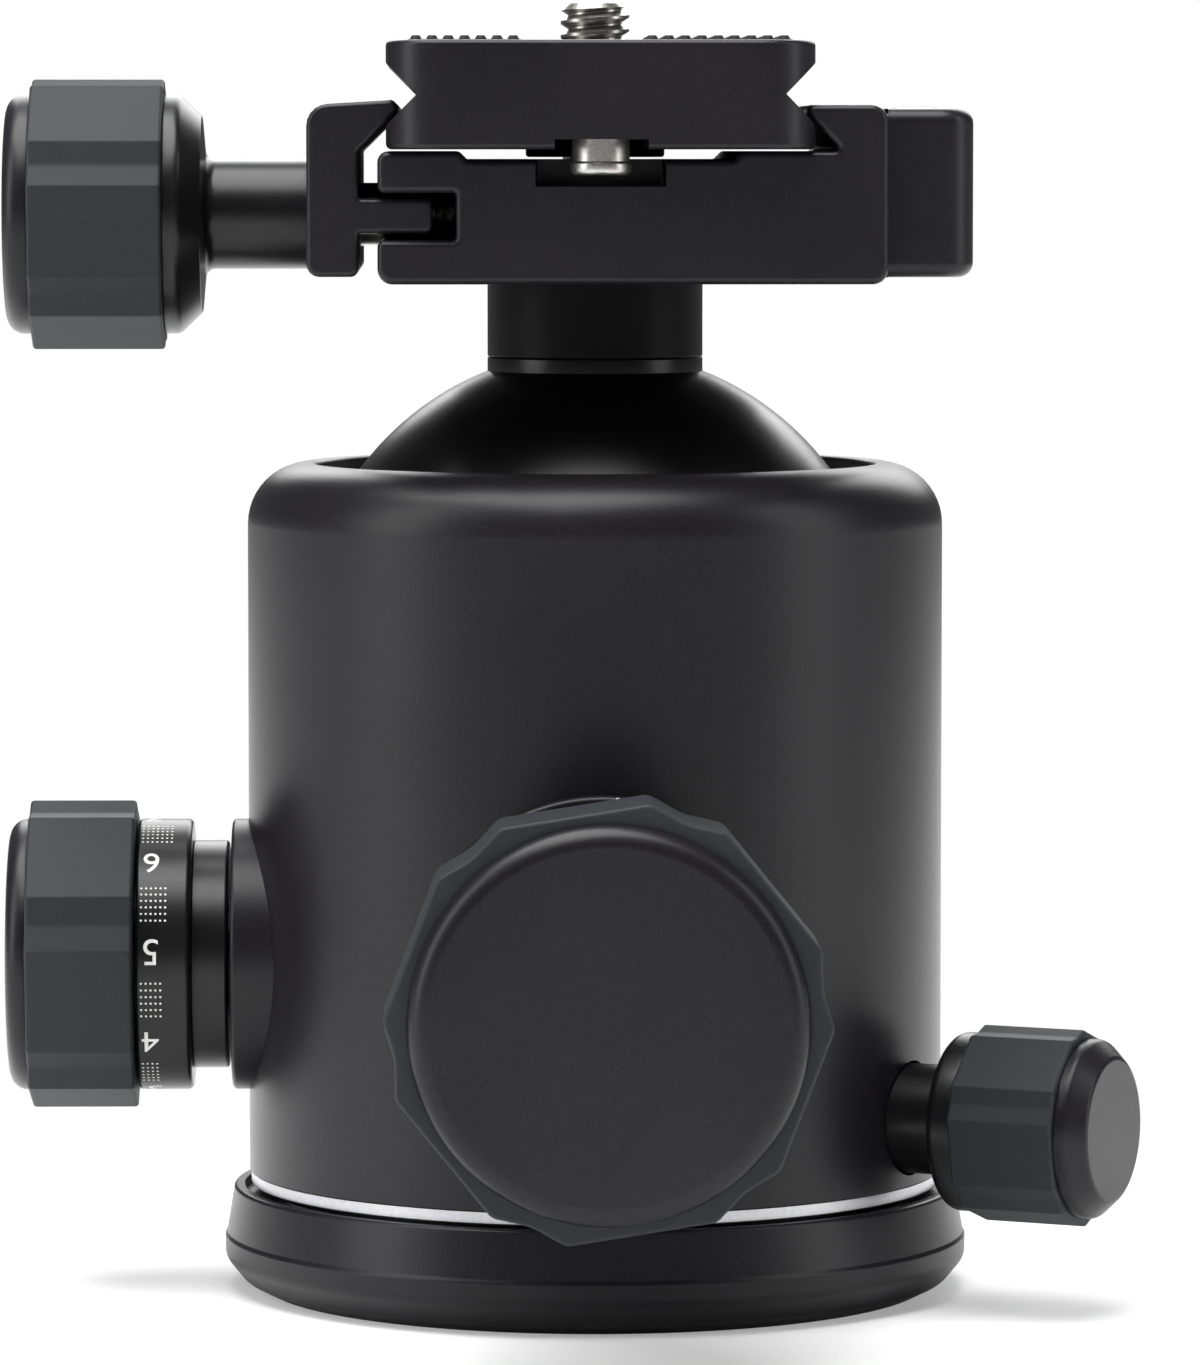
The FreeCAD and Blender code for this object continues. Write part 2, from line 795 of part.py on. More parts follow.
def knob_piece(label, height, azimuth, outline):
    body = turned_piece(label, outline)
    put(body, height, azimuth)
    return body


def cap(label, height, azimuth, radius, start, finish, bend):
    knob_piece(label, height, azimuth, [
        (0, start),
        (radius, start),
        (radius, finish - bend),
        (radius - bend, finish, bend),
        (0, finish),
    ])


def rod(label, height, azimuth, radius, start, finish):
    knob_piece(label, height, azimuth, [
        (0, start),
        (radius, start),
        (radius, finish),
        (0, finish),
    ])


# Main lock knob

bush("main_bush", s.knob_height, main_azimuth, s.main_flange_radius, s.main_sleeve_radius,
     s.main_stem_radius + s.fit_gap)
main_screw_end = s.main_grip_end - s.main_screw_radius
rod("main_screw", s.knob_height, main_azimuth, s.main_screw_radius, s.main_screw_tip, main_screw_end)
knob_piece("main_hub", s.knob_height, main_azimuth, [
    (s.main_screw_radius + s.fit_gap, s.bush_inner_end),
    (s.main_stem_radius, s.bush_inner_end),
    (s.main_stem_radius, s.knob_face + s.air_gap),
    (s.main_neck_radius, s.knob_face + s.air_gap),
    (s.main_neck_radius, s.main_shoulder),
    (s.main_cap_radius, s.main_collar),
    (s.main_cap_radius, s.main_grip_start),
    (s.main_core_radius, s.main_grip_start),
    (s.main_core_radius, s.main_grip_end),
    (0, s.main_grip_end),
    (0, main_screw_end),
    (s.main_screw_radius + s.fit_gap, main_screw_end),
])
grip("main_grip", s.knob_height, main_azimuth, s.main_grip_radius, s.main_core_radius + s.fit_gap,
     s.main_grip_start, s.main_grip_end, s.main_grip_turn)
cap("main_cap", s.knob_height, main_azimuth, s.main_cap_radius, s.main_grip_end, s.main_end, s.cap_round)

# Friction knob and the dial behind its grip

bush("friction_bush", s.knob_height, left_azimuth, s.friction_flange_radius, s.friction_sleeve_radius,
     s.friction_stem_radius + s.fit_gap)
friction_screw_end = s.friction_grip_end - s.friction_screw_radius
rod("friction_screw", s.knob_height, left_azimuth, s.friction_screw_radius, s.friction_screw_tip,
    friction_screw_end)
knob_piece("friction_hub", s.knob_height, left_azimuth, [
    (s.friction_screw_radius + s.fit_gap, s.bush_inner_end),
    (s.friction_stem_radius, s.bush_inner_end),
    (s.friction_stem_radius, s.knob_face + s.air_gap),
    (s.friction_neck_radius, s.knob_face + s.air_gap),
    (s.friction_neck_radius, s.dial_start),
    (s.friction_core_radius, s.dial_start),
    (s.friction_core_radius, s.friction_grip_end),
    (0, s.friction_grip_end),
    (0, friction_screw_end),
    (s.friction_screw_radius + s.fit_gap, friction_screw_end),
])
core_bore = s.friction_core_radius + s.fit_gap
knob_piece("friction_dial", s.knob_height, left_azimuth, [
    (core_bore, s.dial_start),
    (s.dial_radius - s.dial_edge, s.dial_start),
    (s.dial_radius, s.dial_start + s.dial_edge),
    (s.dial_radius, s.dial_end - s.dial_edge),
    (s.dial_radius - s.dial_edge, s.dial_end),
    (core_bore, s.dial_end),
])
grip("friction_grip", s.knob_height, left_azimuth, s.friction_grip_radius, core_bore,
     s.friction_grip_start, s.friction_grip_end, s.friction_grip_turn)
cap("friction_cap", s.knob_height, left_azimuth, s.friction_cap_radius, s.friction_grip_end,
    s.friction_end, s.cap_round)

# Pan lock knob, its guide tube and the pad that presses on the drum's groove

knob_piece("pan_guide", s.pan_height, pan_azimuth,
           tube(s.pan_pad_radius + s.ball_gap, s.pan_guide_radius, s.pan_guide_inner, s.pan_guide_outer))
pan_screw_end = s.pan_grip_end - s.pan_screw_radius
rod("pan_screw", s.pan_height, pan_azimuth, s.pan_screw_radius, s.pan_screw_tip, pan_screw_end)
pad_bore = s.pan_screw_radius + s.fit_gap
pad_bore_end = s.pan_screw_tip - s.air_gap
knob_piece("pan_pad", s.pan_height, pan_azimuth, [
    (0, s.pan_pad_inner - s.pan_pad_nose),
    (s.pan_pad_nose_radius, s.pan_pad_inner - s.pan_pad_nose),
    (s.pan_pad_nose_radius + s.pan_pad_nose, s.pan_pad_inner),
    (s.pan_pad_radius, s.pan_pad_inner),
    (s.pan_pad_radius, s.pan_pad_outer),
    (pad_bore, s.pan_pad_outer),
    (pad_bore, pad_bore_end),
    (0, pad_bore_end),
])
knob_piece("pan_hub", s.pan_height, pan_azimuth, [
    (pad_bore, s.pan_neck_start),
    (s.pan_neck_radius, s.pan_neck_start),
    (s.pan_neck_radius, s.pan_flange_start),
    (s.pan_cap_radius, s.pan_flange_start),
    (s.pan_cap_radius, s.pan_grip_start),
    (s.pan_core_radius, s.pan_grip_start),
    (s.pan_core_radius, s.pan_grip_end),
    (0, s.pan_grip_end),
    (0, pan_screw_end),
    (pad_bore, pan_screw_end),
])
grip("pan_grip", s.pan_height, pan_azimuth, s.pan_grip_radius, s.pan_core_radius + s.fit_gap,
     s.pan_grip_start, s.pan_grip_end, s.pan_grip_turn)
cap("pan_cap", s.pan_height, pan_azimuth, s.pan_cap_radius, s.pan_grip_end, s.pan_end, s.pan_cap_round)

# Clamp knob

clamp_screw_end = s.clamp_grip_end - s.clamp_screw_radius
rod("clamp_screw", s.clamp_axis_height, left_azimuth, s.clamp_screw_radius, s.clamp_screw_tip,
    clamp_screw_end)
clamp_bore = s.clamp_screw_radius + s.fit_gap
knob_piece("clamp_hub", s.clamp_axis_height, left_azimuth, [
    (clamp_bore, s.clamp_neck_start),
    (s.clamp_neck_radius, s.clamp_neck_start),
    (s.clamp_neck_radius, s.clamp_shoulder),
    (s.clamp_shoulder_radius, s.clamp_shoulder),
    (s.clamp_cap_radius, s.clamp_collar),
    (s.clamp_cap_radius, s.clamp_grip_start),
    (s.clamp_core_radius, s.clamp_grip_start),
    (s.clamp_core_radius, s.clamp_grip_end),
    (0, s.clamp_grip_end),
    (0, clamp_screw_end),
    (clamp_bore, clamp_screw_end),
])
grip("clamp_grip", s.clamp_axis_height, left_azimuth, s.clamp_grip_radius, s.clamp_core_radius + s.fit_gap,
     s.clamp_grip_start, s.clamp_grip_end, s.clamp_grip_turn)
cap("clamp_cap", s.clamp_axis_height, left_azimuth, s.clamp_cap_radius, s.clamp_grip_end, s.clamp_end,
    s.cap_round)

# Wedges: blocks on the knobs' screws that lift the pressure ring as they are drawn inwards

ring_slope = (s.ring_outer_bottom - s.ring_inner_bottom) / (bore_radius - s.cup_inner_radius)


def ring_underside(radius):
    return s.ring_inner_bottom + (radius - s.cup_inner_radius) * ring_slope - s.air_gap


def wedge(label, azimuth, width, inner, outer, screw_radius):
    """A block along its knob's axis. Its top follows the pressure ring's underside."""
    body = new_piece(label)
    bottom = -(screw_radius + s.washer_thickness * 4.0)
    sketch = new_sketch(body, "YZ_Plane")
    draw_outline(sketch, [
        (bottom, inner),
        (ring_underside(inner) - s.knob_height, inner),
        (ring_underside(outer) - s.knob_height, outer),
        (bottom, outer),
    ])
    pad(body, sketch, width, symmetric=True, label="block")
    sketch = new_sketch(body, "XY_Plane", lift=inner)
    draw_circle(sketch, screw_radius + s.ball_gap)
    cut(body, sketch, outer - inner, back=True, label="thread")
    put(body, s.knob_height, azimuth)


wedge("main_wedge", main_azimuth, s.main_wedge_width, s.main_wedge_inner, s.main_wedge_outer,
      s.main_screw_radius)
wedge("friction_wedge", left_azimuth, s.friction_wedge_width, s.friction_wedge_inner,
      s.friction_wedge_outer, s.friction_screw_radius)

# Clamp body: the front outline with the fixed jaw's undercut, the channel and the tongue's slot

jaw_tip = (s.plate_half - s.dovetail_depth + (s.dovetail_height - s.jaw_tip_height)
           + s.slide_gap * root(as_size(2.0)))
undercut_foot = jaw_tip + (s.jaw_tip_height - s.clamp_top)
clamp_body = new_piece("clamp_body")
sketch = new_sketch(clamp_body, "XZ_Plane")
draw_outline(sketch, [
    (s.clamp_right - s.clamp_round, s.clamp_bottom),
    (s.clamp_right, s.clamp_bottom + s.clamp_round, s.clamp_round),
    (s.clamp_right, s.fixed_jaw_top - s.clamp_round),
    (s.clamp_right - s.clamp_round, s.fixed_jaw_top, s.clamp_round),
    (jaw_tip + s.jaw_tip_edge, s.fixed_jaw_top),
    (jaw_tip, s.jaw_tip_height),
    (undercut_foot, s.clamp_top),
    (s.channel_half + s.channel_depth, s.clamp_top),
    (s.channel_half, s.clamp_top - s.channel_depth),
    (-s.channel_half, s.clamp_top - s.channel_depth),
    (-(s.channel_half + s.channel_depth), s.clamp_top),
    (s.clamp_edge - s.clamp_left, s.clamp_top),
    (-s.clamp_left, s.clamp_top - s.clamp_edge, s.clamp_edge),
    (-s.clamp_left, s.slot_top),
    (-s.slot_end, s.slot_top),
    (-s.slot_end, s.slot_bottom),
    (-s.clamp_left, s.slot_bottom),
    (-s.clamp_left, s.clamp_bottom + s.clamp_round),
    (s.clamp_round - s.clamp_left, s.clamp_bottom, s.clamp_round),
])
pad(clamp_body, sketch, s.clamp_length, symmetric=True, label="block")
sketch = new_sketch(clamp_body, "XY_Plane", lift=s.boss_bottom)
boss_half = s.boss_length / 2.0
boss_start = s.clamp_right - s.clamp_round
draw_outline(sketch, [
    (boss_start, -boss_half),
    (s.boss_right - s.boss_corner, -boss_half),
    (s.boss_right, s.boss_corner - boss_half, s.boss_corner),
    (s.boss_right, boss_half - s.boss_corner),
    (s.boss_right - s.boss_corner, boss_half, s.boss_corner),
    (boss_start, boss_half),
])
pad(clamp_body, sketch, s.boss_top - s.boss_bottom, label="boss")


def boss_rim(edge):
    """The boss's top and bottom edges beyond the clamp body's side."""
    box = edge.BoundBox
    flat = box.ZLength < s.fit_gap.value
    ends = (s.boss_bottom.value, s.boss_top.value)
    at_end = min(abs(box.ZMin - height) for height in ends) < s.fit_gap.value
    return flat and at_end and box.XMax > s.clamp_right.value + s.fit_gap.value


soften(clamp_body, s.boss_round, boss_rim)


def top_pocket(body, radius, top, depth, x=0, y=0, label="pocket"):
    sketch = new_sketch(body, "XY_Plane", lift=top)
    draw_circle(sketch, radius, x, y)
    return cut(body, sketch, depth, label=label)


doc.recompute()
top_pocket(clamp_body, s.level_radius + s.fit_gap, s.boss_top, s.level_depth, s.level_across, label="level")
top_pocket(clamp_body, bolt_hole_radius, s.clamp_top, s.clamp_top - s.clamp_bottom, label="bolt_hole")
top_pocket(clamp_body, s.bolt_head_radius + s.ball_gap, s.clamp_top, s.clamp_top - s.bolt_head_bottom,
           label="bolt_head")
sketch = new_sketch(clamp_body, "XY_Plane", lift=s.clamp_bottom)
pin_circles(sketch, s.neck_pin_radius + s.fit_gap)
cut(clamp_body, sketch, s.neck_pin_top - s.clamp_bottom + s.fit_gap, back=True, label="pin_holes")
sketch = new_sketch(clamp_body, "XY_Plane", lift=s.clamp_top)
clamp_half = s.clamp_length / 2.0
for near, far in ((s.pin_pocket_wall, clamp_half + s.clamp_edge), (-clamp_half - s.clamp_edge, -s.pin_pocket_wall)):
    draw_outline(sketch, box_outline(-s.pin_pocket_half, near, s.pin_pocket_half, far))
cut(clamp_body, sketch, s.clamp_top - s.pin_pocket_floor, label="pin_pockets")
sketch = new_sketch(clamp_body, "YZ_Plane", lift=-s.clamp_left)
draw_circle(sketch, s.clamp_screw_radius + s.ball_gap, 0, s.clamp_axis_height)
cut(clamp_body, sketch, s.clamp_left - s.clamp_screw_tip + s.air_gap, back=True, label="screw_hole")
sketch = new_sketch(clamp_body, "YZ_Plane", lift=-s.slot_end)
draw_circle(sketch, s.spring_hole_radius, s.spring_offset, s.clamp_axis_height)
draw_circle(sketch, s.spring_hole_radius, -s.spring_offset, s.clamp_axis_height)
cut(clamp_body, sketch, s.slot_end - s.spring_hole_end, back=True, label="spring_holes")

# Moving jaw, with a tongue that slides in the clamp body's slot

jaw = new_piece("jaw")
sketch = new_sketch(jaw, "XZ_Plane")
draw_outline(sketch, [
    (-s.jaw_inner, s.jaw_bottom),
    (-s.jaw_inner, s.tongue_bottom),
    (-s.tongue_end - s.tongue_round, s.tongue_bottom),
    (-s.tongue_end, s.tongue_bottom + s.tongue_round, s.tongue_round),
    (-s.tongue_end, s.tongue_top - s.tongue_round),
    (-s.tongue_end - s.tongue_round, s.tongue_top, s.tongue_round),
    (-s.jaw_inner, s.tongue_top),
    (-s.jaw_inner, s.jaw_tip_height - (s.jaw_inner - jaw_tip)),
    (-jaw_tip, s.jaw_tip_height),
    (-jaw_tip - s.jaw_tip_edge, s.jaw_top + s.jaw_rise),
    (s.jaw_round - s.jaw_outer, s.jaw_top),
    (-s.jaw_outer, s.jaw_top - s.jaw_round, s.jaw_round),
    (-s.jaw_outer, s.jaw_bottom + s.jaw_foot_round),
    (s.jaw_foot_round - s.jaw_outer, s.jaw_bottom, s.jaw_foot_round),
])
pad(jaw, sketch, s.jaw_length, symmetric=True, label="block")
doc.recompute()
sketch = new_sketch(jaw, "YZ_Plane", lift=-s.jaw_inner)
split = s.tongue_split_half
draw_outline(sketch, box_outline(-split, s.tongue_bottom - s.air_gap, split, s.tongue_top + s.air_gap))
cut(jaw, sketch, s.jaw_inner - s.tongue_end + s.air_gap, back=True, label="tongue_split")
sketch = new_sketch(jaw, "YZ_Plane")
draw_circle(sketch, s.clamp_screw_radius + s.ball_gap, 0, s.clamp_axis_height)
cut(jaw, sketch, s.jaw_outer + s.air_gap, label="screw_hole")

springs = new_piece("jaw_springs")
spring_left = s.tongue_end - s.spring_hole_end - s.fit_gap
sketch = new_sketch(springs, "YZ_Plane", lift=-s.spring_hole_end - s.fit_gap)
for side in (s.spring_offset, -s.spring_offset):
    draw_circle(sketch, s.spring_radius, side, s.clamp_axis_height)
    draw_circle(sketch, s.spring_radius - s.spring_wire_radius * 2.0, side, s.clamp_axis_height)
pad(springs, sketch, spring_left - s.fit_gap, back=True, label="coils")

# Spirit level in the clamp's side boss

level_floor = s.boss_top - s.level_depth
cup = turned_piece("level_cup", [
    (0, 0),
    (s.level_radius, 0),
    (s.level_radius, s.level_depth),
    (s.level_radius - s.level_wall, s.level_depth),
    (s.level_radius - s.level_wall, s.level_wall),
    (0, s.level_wall),
])
lens_radius = s.level_radius - s.level_wall - s.fit_gap
lens_bend = (lens_radius * lens_radius + s.air_gap * s.air_gap) / (s.air_gap * 2.0)
lens = turned_piece("level_lens", [
    (0, s.level_wall),
    (lens_radius, s.level_wall),
    (lens_radius, s.level_depth),
    (0, s.level_depth + s.air_gap, lens_bend),
])
for body in (cup, lens):
    body.setExpression("Placement.Base.x", s.level_across.text)
    put(body, level_floor)

# Camera plate: a dovetail bar with a lip at the top, stop pins beneath and pads on top

plate = new_piece("plate")
lip_low = s.dovetail_height - s.dovetail_depth
lip_high = s.dovetail_height + s.dovetail_depth
half = s.plate_half
waist = s.plate_half - s.dovetail_depth
foot = s.plate_foot_round
edge_round = s.plate_edge
sketch = new_sketch(plate, "XZ_Plane")
draw_outline(sketch, [
    (-s.groove_half, s.plate_bottom),
    (-s.groove_half, s.groove_top),
    (s.groove_half, s.groove_top),
    (s.groove_half, s.plate_bottom),
    (half - foot, s.plate_bottom),
    (half, s.plate_bottom + foot, foot),
    (half, lip_low),
    (waist, s.dovetail_height),
    (half, lip_high),
    (half, s.plate_top - edge_round),
    (half - edge_round, s.plate_top, edge_round),
    (edge_round - half, s.plate_top),
    (-half, s.plate_top - edge_round, edge_round),
    (-half, lip_high),
    (-waist, s.dovetail_height),
    (-half, lip_low),
    (-half, s.plate_bottom + foot),
    (foot - half, s.plate_bottom, foot),
])
pad(plate, sketch, s.plate_length, symmetric=True, label="bar")
sketch = new_sketch(plate, "XY_Plane", lift=s.plate_top)
beyond = s.plate_corner
plate_end = s.plate_length / 2.0
bend = s.plate_corner
draw_outline(sketch, box_outline(-half - beyond, -plate_end - beyond, half + beyond, plate_end + beyond))
draw_outline(sketch, [
    (half - bend, -plate_end),
    (half, bend - plate_end, bend),
    (half, plate_end - bend),
    (half - bend, plate_end, bend),
    (bend - half, plate_end),
    (-half, plate_end - bend, bend),
    (-half, bend - plate_end),
    (bend - half, -plate_end, bend),
])
cut(plate, sketch, s.plate_top - s.plate_bottom, label="corners")
sketch = new_sketch(plate, "XY_Plane", lift=s.plate_top)


def pad_outlines(sketch, gap):
    """The two rubber pads, or their beds when gap is added all round."""
    reach = s.pad_half_length + gap
    draw_outline(sketch, box_outline(-s.pad_left_out - gap, -reach, gap - s.pad_left_in, reach))
    draw_outline(sketch, box_outline(s.pad_right_in - gap, -reach, s.pad_right_out + gap, reach))


doc.recompute()
pad_outlines(sketch, s.fit_gap)
cut(plate, sketch, s.pad_inset, label="pad_beds")
screw_bore = s.screw_radius + s.ball_gap
top_pocket(plate, screw_bore, s.plate_top, s.plate_top - s.plate_bottom, label="screw_hole")
top_pocket(plate, s.clip_pocket_radius, s.plate_top, s.plate_top - s.clip_pocket_floor, label="clip_pocket")
sketch = new_sketch(plate, "XY_Plane", lift=s.plate_bottom)
draw_circle(sketch, s.head_pocket_radius)
cut(plate, sketch, s.head_pocket_top - s.plate_bottom, back=True, label="head_pocket")


def stop_circles(sketch, radius):
    draw_circle(sketch, radius, 0, s.pin_offset)
    draw_circle(sketch, radius, 0, -s.pin_offset)


sketch = new_sketch(plate, "XY_Plane", lift=s.groove_top)
stop_circles(sketch, s.pin_thread_radius + s.fit_gap)
cut(plate, sketch, s.pin_thread_top - s.groove_top + s.air_gap, back=True, label="pin_holes")

pads = new_piece("plate_pads")
sketch = new_sketch(pads, "XY_Plane", lift=s.plate_top - s.pad_inset)
pad_outlines(sketch, as_size(0.0))
pad(pads, sketch, s.pad_inset + s.pad_proud, label="slabs")

pins = new_piece("stop_pins")
sketch = new_sketch(pins, "XY_Plane", lift=s.pin_bottom)
stop_circles(sketch, s.pin_radius)
pad(pins, sketch, s.pin_rim_height, label="rims")
doc.recompute()
sketch = new_sketch(pins, "XY_Plane", lift=s.pin_bottom)
stop_circles(sketch, s.pin_waist_radius)
pad(pins, sketch, s.groove_top - s.pin_bottom, label="waists")
sketch = new_sketch(pins, "XY_Plane", lift=s.pin_bottom)
stop_circles(sketch, s.pin_thread_radius)
pad(pins, sketch, s.pin_thread_top - s.pin_bottom, label="threads")

camera_screw = turned_piece("camera_screw", [
    (0, s.screw_head_bottom),
    (s.screw_head_radius - s.screw_head_chamfer, s.screw_head_bottom),
    (s.screw_head_radius, s.screw_head_bottom + s.screw_head_chamfer),
    (s.screw_head_radius, s.screw_head_top),
    (s.screw_relief_radius, s.screw_head_top),
    (s.screw_relief_radius, s.plate_top + s.pad_proud + s.fit_gap),
    (s.screw_radius, s.plate_top + s.pad_proud + s.fit_gap),
    (s.screw_radius, s.screw_tip - s.screw_chamfer),
    (s.screw_radius - s.screw_chamfer, s.screw_tip),
    (0, s.screw_tip),
])
doc.recompute()
socket(camera_screw, s.screw_socket_radius, s.screw_socket_depth, s.screw_head_bottom, back=True)
clip_bottom = s.clip_pocket_floor + s.fit_gap
turned_piece("screw_clip", tube(s.screw_relief_radius + s.fit_gap, s.clip_radius, clip_bottom,
                                clip_bottom + s.clip_thickness))

# Check every feature, then write each piece to its own file

doc.recompute()
for item in doc.Objects:
    if "Invalid" in item.State or "Error" in item.State:
        raise RuntimeError(f"{item.Label} does not build")
os.makedirs("parts", exist_ok=True)
for piece in pieces:
    if piece.Shape.isNull() or not piece.Shape.isValid():
        raise RuntimeError(f"{piece.Label} has no sound shape")
    piece.Shape.exportStep(f"parts/{piece.Label}.step")
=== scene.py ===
import math

import bmesh
import bpy
from mathutils import Matrix, Vector


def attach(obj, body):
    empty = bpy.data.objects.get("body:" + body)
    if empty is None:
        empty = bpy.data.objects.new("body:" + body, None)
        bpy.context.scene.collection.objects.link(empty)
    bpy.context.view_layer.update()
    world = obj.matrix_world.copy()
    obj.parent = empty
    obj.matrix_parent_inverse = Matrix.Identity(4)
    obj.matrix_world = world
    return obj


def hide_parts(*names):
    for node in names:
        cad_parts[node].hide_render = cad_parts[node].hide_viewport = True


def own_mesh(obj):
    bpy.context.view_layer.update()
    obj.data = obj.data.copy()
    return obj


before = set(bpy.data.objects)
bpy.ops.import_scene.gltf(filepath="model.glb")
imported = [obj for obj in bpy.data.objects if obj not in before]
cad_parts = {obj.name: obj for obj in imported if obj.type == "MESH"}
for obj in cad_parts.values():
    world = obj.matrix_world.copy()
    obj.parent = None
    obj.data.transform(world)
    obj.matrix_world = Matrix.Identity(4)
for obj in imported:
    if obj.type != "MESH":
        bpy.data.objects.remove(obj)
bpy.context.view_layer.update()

# Base. A low dish turned from aluminium bar, bead blasted and anodised black, with a rounded
# foot, a fine shoulder line and a tapered rim. Its bore holds the bush for the tripod's screw.

MILLIMETRE = 0.001
FULL_TURN = 2 * math.pi
MERGE_DISTANCE = 0.0005
GRAIN_DETAIL = 3.0
CLOUD_SCALE = 60.0
CLOUD_SHARE = 0.5
DARK_STOP = 0.45
LIGHT_STOP = 1.05
ROUGHNESS_SPREAD = 0.06
BUMP_STRENGTH = 0.5


def linear_colour(code):
    """A linear colour with alpha from an sRGB hex code."""
    parts = [int(code[start:start + 2], 16) / 255 for start in (0, 2, 4)]
    linear = [part / 12.92 if part <= 0.04045 else ((part + 0.055) / 1.055) ** 2.4
              for part in parts]
    return (*linear, 1.0)


def add_node(tree, kind, settings=None, links=None):
    """Adds a node, sets its properties, and links or sets its inputs."""
    node = tree.nodes.new(kind)
    for key, value in (settings or {}).items():
        setattr(node, key, value)
    for key, value in (links or {}).items():
        if isinstance(value, bpy.types.NodeSocket):
            tree.links.new(value, node.inputs[key])
        else:
            node.inputs[key].default_value = value
    return node


def grained(name, dark, light, grain_mm, depth_mm, roughness,
            metallic=0.0, specular=0.5, coat=0.0):
    """A finish whose colour, roughness and height vary with a grain of a given size.

    The real grain is finer than the render can show, so grain_mm is drawn two to four times
    as coarse. Broad clouds of about 17 mm vary the colour a little over a whole piece.
    """
    material = bpy.data.materials.new(name)
    material.use_nodes = True
    tree = material.node_tree
    shader = tree.nodes["Principled BSDF"]
    shader.inputs["Metallic"].default_value = metallic
    shader.inputs["Specular IOR Level"].default_value = specular
    shader.inputs["Coat Weight"].default_value = coat
    place = add_node(tree, "ShaderNodeTexCoord").outputs["Object"]
    grain = add_node(tree, "ShaderNodeTexNoise", None, {
        "Vector": place, "Scale": 1 / (grain_mm * MILLIMETRE),
        "Detail": GRAIN_DETAIL, "Roughness": 0.6}).outputs["Fac"]
    cloud = add_node(tree, "ShaderNodeTexNoise", None, {
        "Vector": place, "Scale": CLOUD_SCALE,
        "Detail": GRAIN_DETAIL, "Roughness": 0.5}).outputs["Fac"]
    blend = add_node(tree, "ShaderNodeMath", {"operation": "MULTIPLY_ADD"}, {
        0: cloud, 1: CLOUD_SHARE, 2: grain})
    ramp = add_node(tree, "ShaderNodeValToRGB", None, {"Fac": blend.outputs["Value"]})
    stops = ramp.color_ramp.elements
    for stop, position, colour in zip(stops, (DARK_STOP, LIGHT_STOP), (dark, light)):
        stop.position = position
        stop.color = linear_colour(colour)
    tree.links.new(ramp.outputs["Color"], shader.inputs["Base Color"])
    spread = add_node(tree, "ShaderNodeMapRange", None, {
        "Value": grain, "To Min": roughness - ROUGHNESS_SPREAD,
        "To Max": roughness + ROUGHNESS_SPREAD})
    tree.links.new(spread.outputs["Result"], shader.inputs["Roughness"])
    bump = add_node(tree, "ShaderNodeBump", None, {
        "Height": grain, "Strength": BUMP_STRENGTH, "Distance": depth_mm * MILLIMETRE})
    tree.links.new(bump.outputs["Normal"], shader.inputs["Normal"])
    return material


def finish_nodes(finish, *nodes):
    """Gives CAD nodes a finish."""
    for node in nodes:
        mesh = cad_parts[node].data
        mesh.materials.clear()
        mesh.materials.append(finish)


def rounded(corners, closed=True, steps=5):
    """A line's points, with an arc at each corner (x, y, radius) and none at each (x, y)."""
    points = []
    count = len(corners)
    for index, corner in enumerate(corners):
        here = Vector(corner[:2])
        end = not closed and index in (0, count - 1)
        if len(corner) == 2 or end:
            points.append(here)
            continue
        radius = corner[2]
        back = (Vector(corners[index - 1][:2]) - here).normalized()
        ahead = (Vector(corners[(index + 1) % count][:2]) - here).normalized()
        half = back.angle(ahead) / 2
        middle = here + (back + ahead).normalized() * (radius / math.sin(half))
        start = here + back * (radius / math.tan(half)) - middle
        finish = here + ahead * (radius / math.tan(half)) - middle
        sweep = start.angle_signed(finish)
        for step in range(steps + 1):
            points.append(middle + Matrix.Rotation(-sweep * step / steps, 2) @ start)
    return points


def turned(profile, steps=160, place=Matrix.Identity(4)):
    """A mesh in millimetres turned about its Z axis, from points of radius and height."""
    mesh = bmesh.new()
    verts = [mesh.verts.new((point[0], 0, point[1])) for point in profile]
    edges = [mesh.edges.new(pair) for pair in zip(verts, verts[1:])]
    if profile[0][0] > 0:
        edges.append(mesh.edges.new((verts[-1], verts[0])))
    bmesh.ops.spin(mesh, geom=verts + edges, cent=(0, 0, 0), axis=(0, 0, 1), dvec=(0, 0, 0),
                   angle=FULL_TURN, steps=steps, use_merge=True, use_duplicate=False)
    bmesh.ops.remove_doubles(mesh, verts=mesh.verts, dist=MERGE_DISTANCE)
    bmesh.ops.recalc_face_normals(mesh, faces=mesh.faces)
    bmesh.ops.transform(mesh, matrix=place, verts=mesh.verts)
    return mesh


def add_piece(name, mesh, body, finish, nodes=(), sharp=32):
    """Makes a mesh in millimetres a piece that rides on a body and stands for CAD nodes."""
    bmesh.ops.remove_doubles(mesh, verts=mesh.verts, dist=MERGE_DISTANCE)
    loose = [vert for vert in mesh.verts if not vert.link_faces]
    bmesh.ops.delete(mesh, geom=loose, context="VERTS")
    bmesh.ops.recalc_face_normals(mesh, faces=mesh.faces)
    bmesh.ops.scale(mesh, vec=(MILLIMETRE,) * 3, verts=mesh.verts)
    data = bpy.data.meshes.new(name)
    mesh.to_mesh(data)
    mesh.free()
    data.shade_smooth()
    data.set_sharp_from_angle(angle=math.radians(sharp))
    data.materials.append(finish)
    made = bpy.data.objects.new(name, data)
    bpy.context.scene.collection.objects.link(made)
    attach(made, body)
    if nodes:
        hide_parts(*nodes)
    flats = made.modifiers.new("flats", "WEIGHTED_NORMAL")
    flats.keep_sharp = True
    return made


BASE_BORE = 8.05
BASE_TOP = 9.6
SEAT_RADIUS = 32.4
SEAT_HEIGHT = 8.6
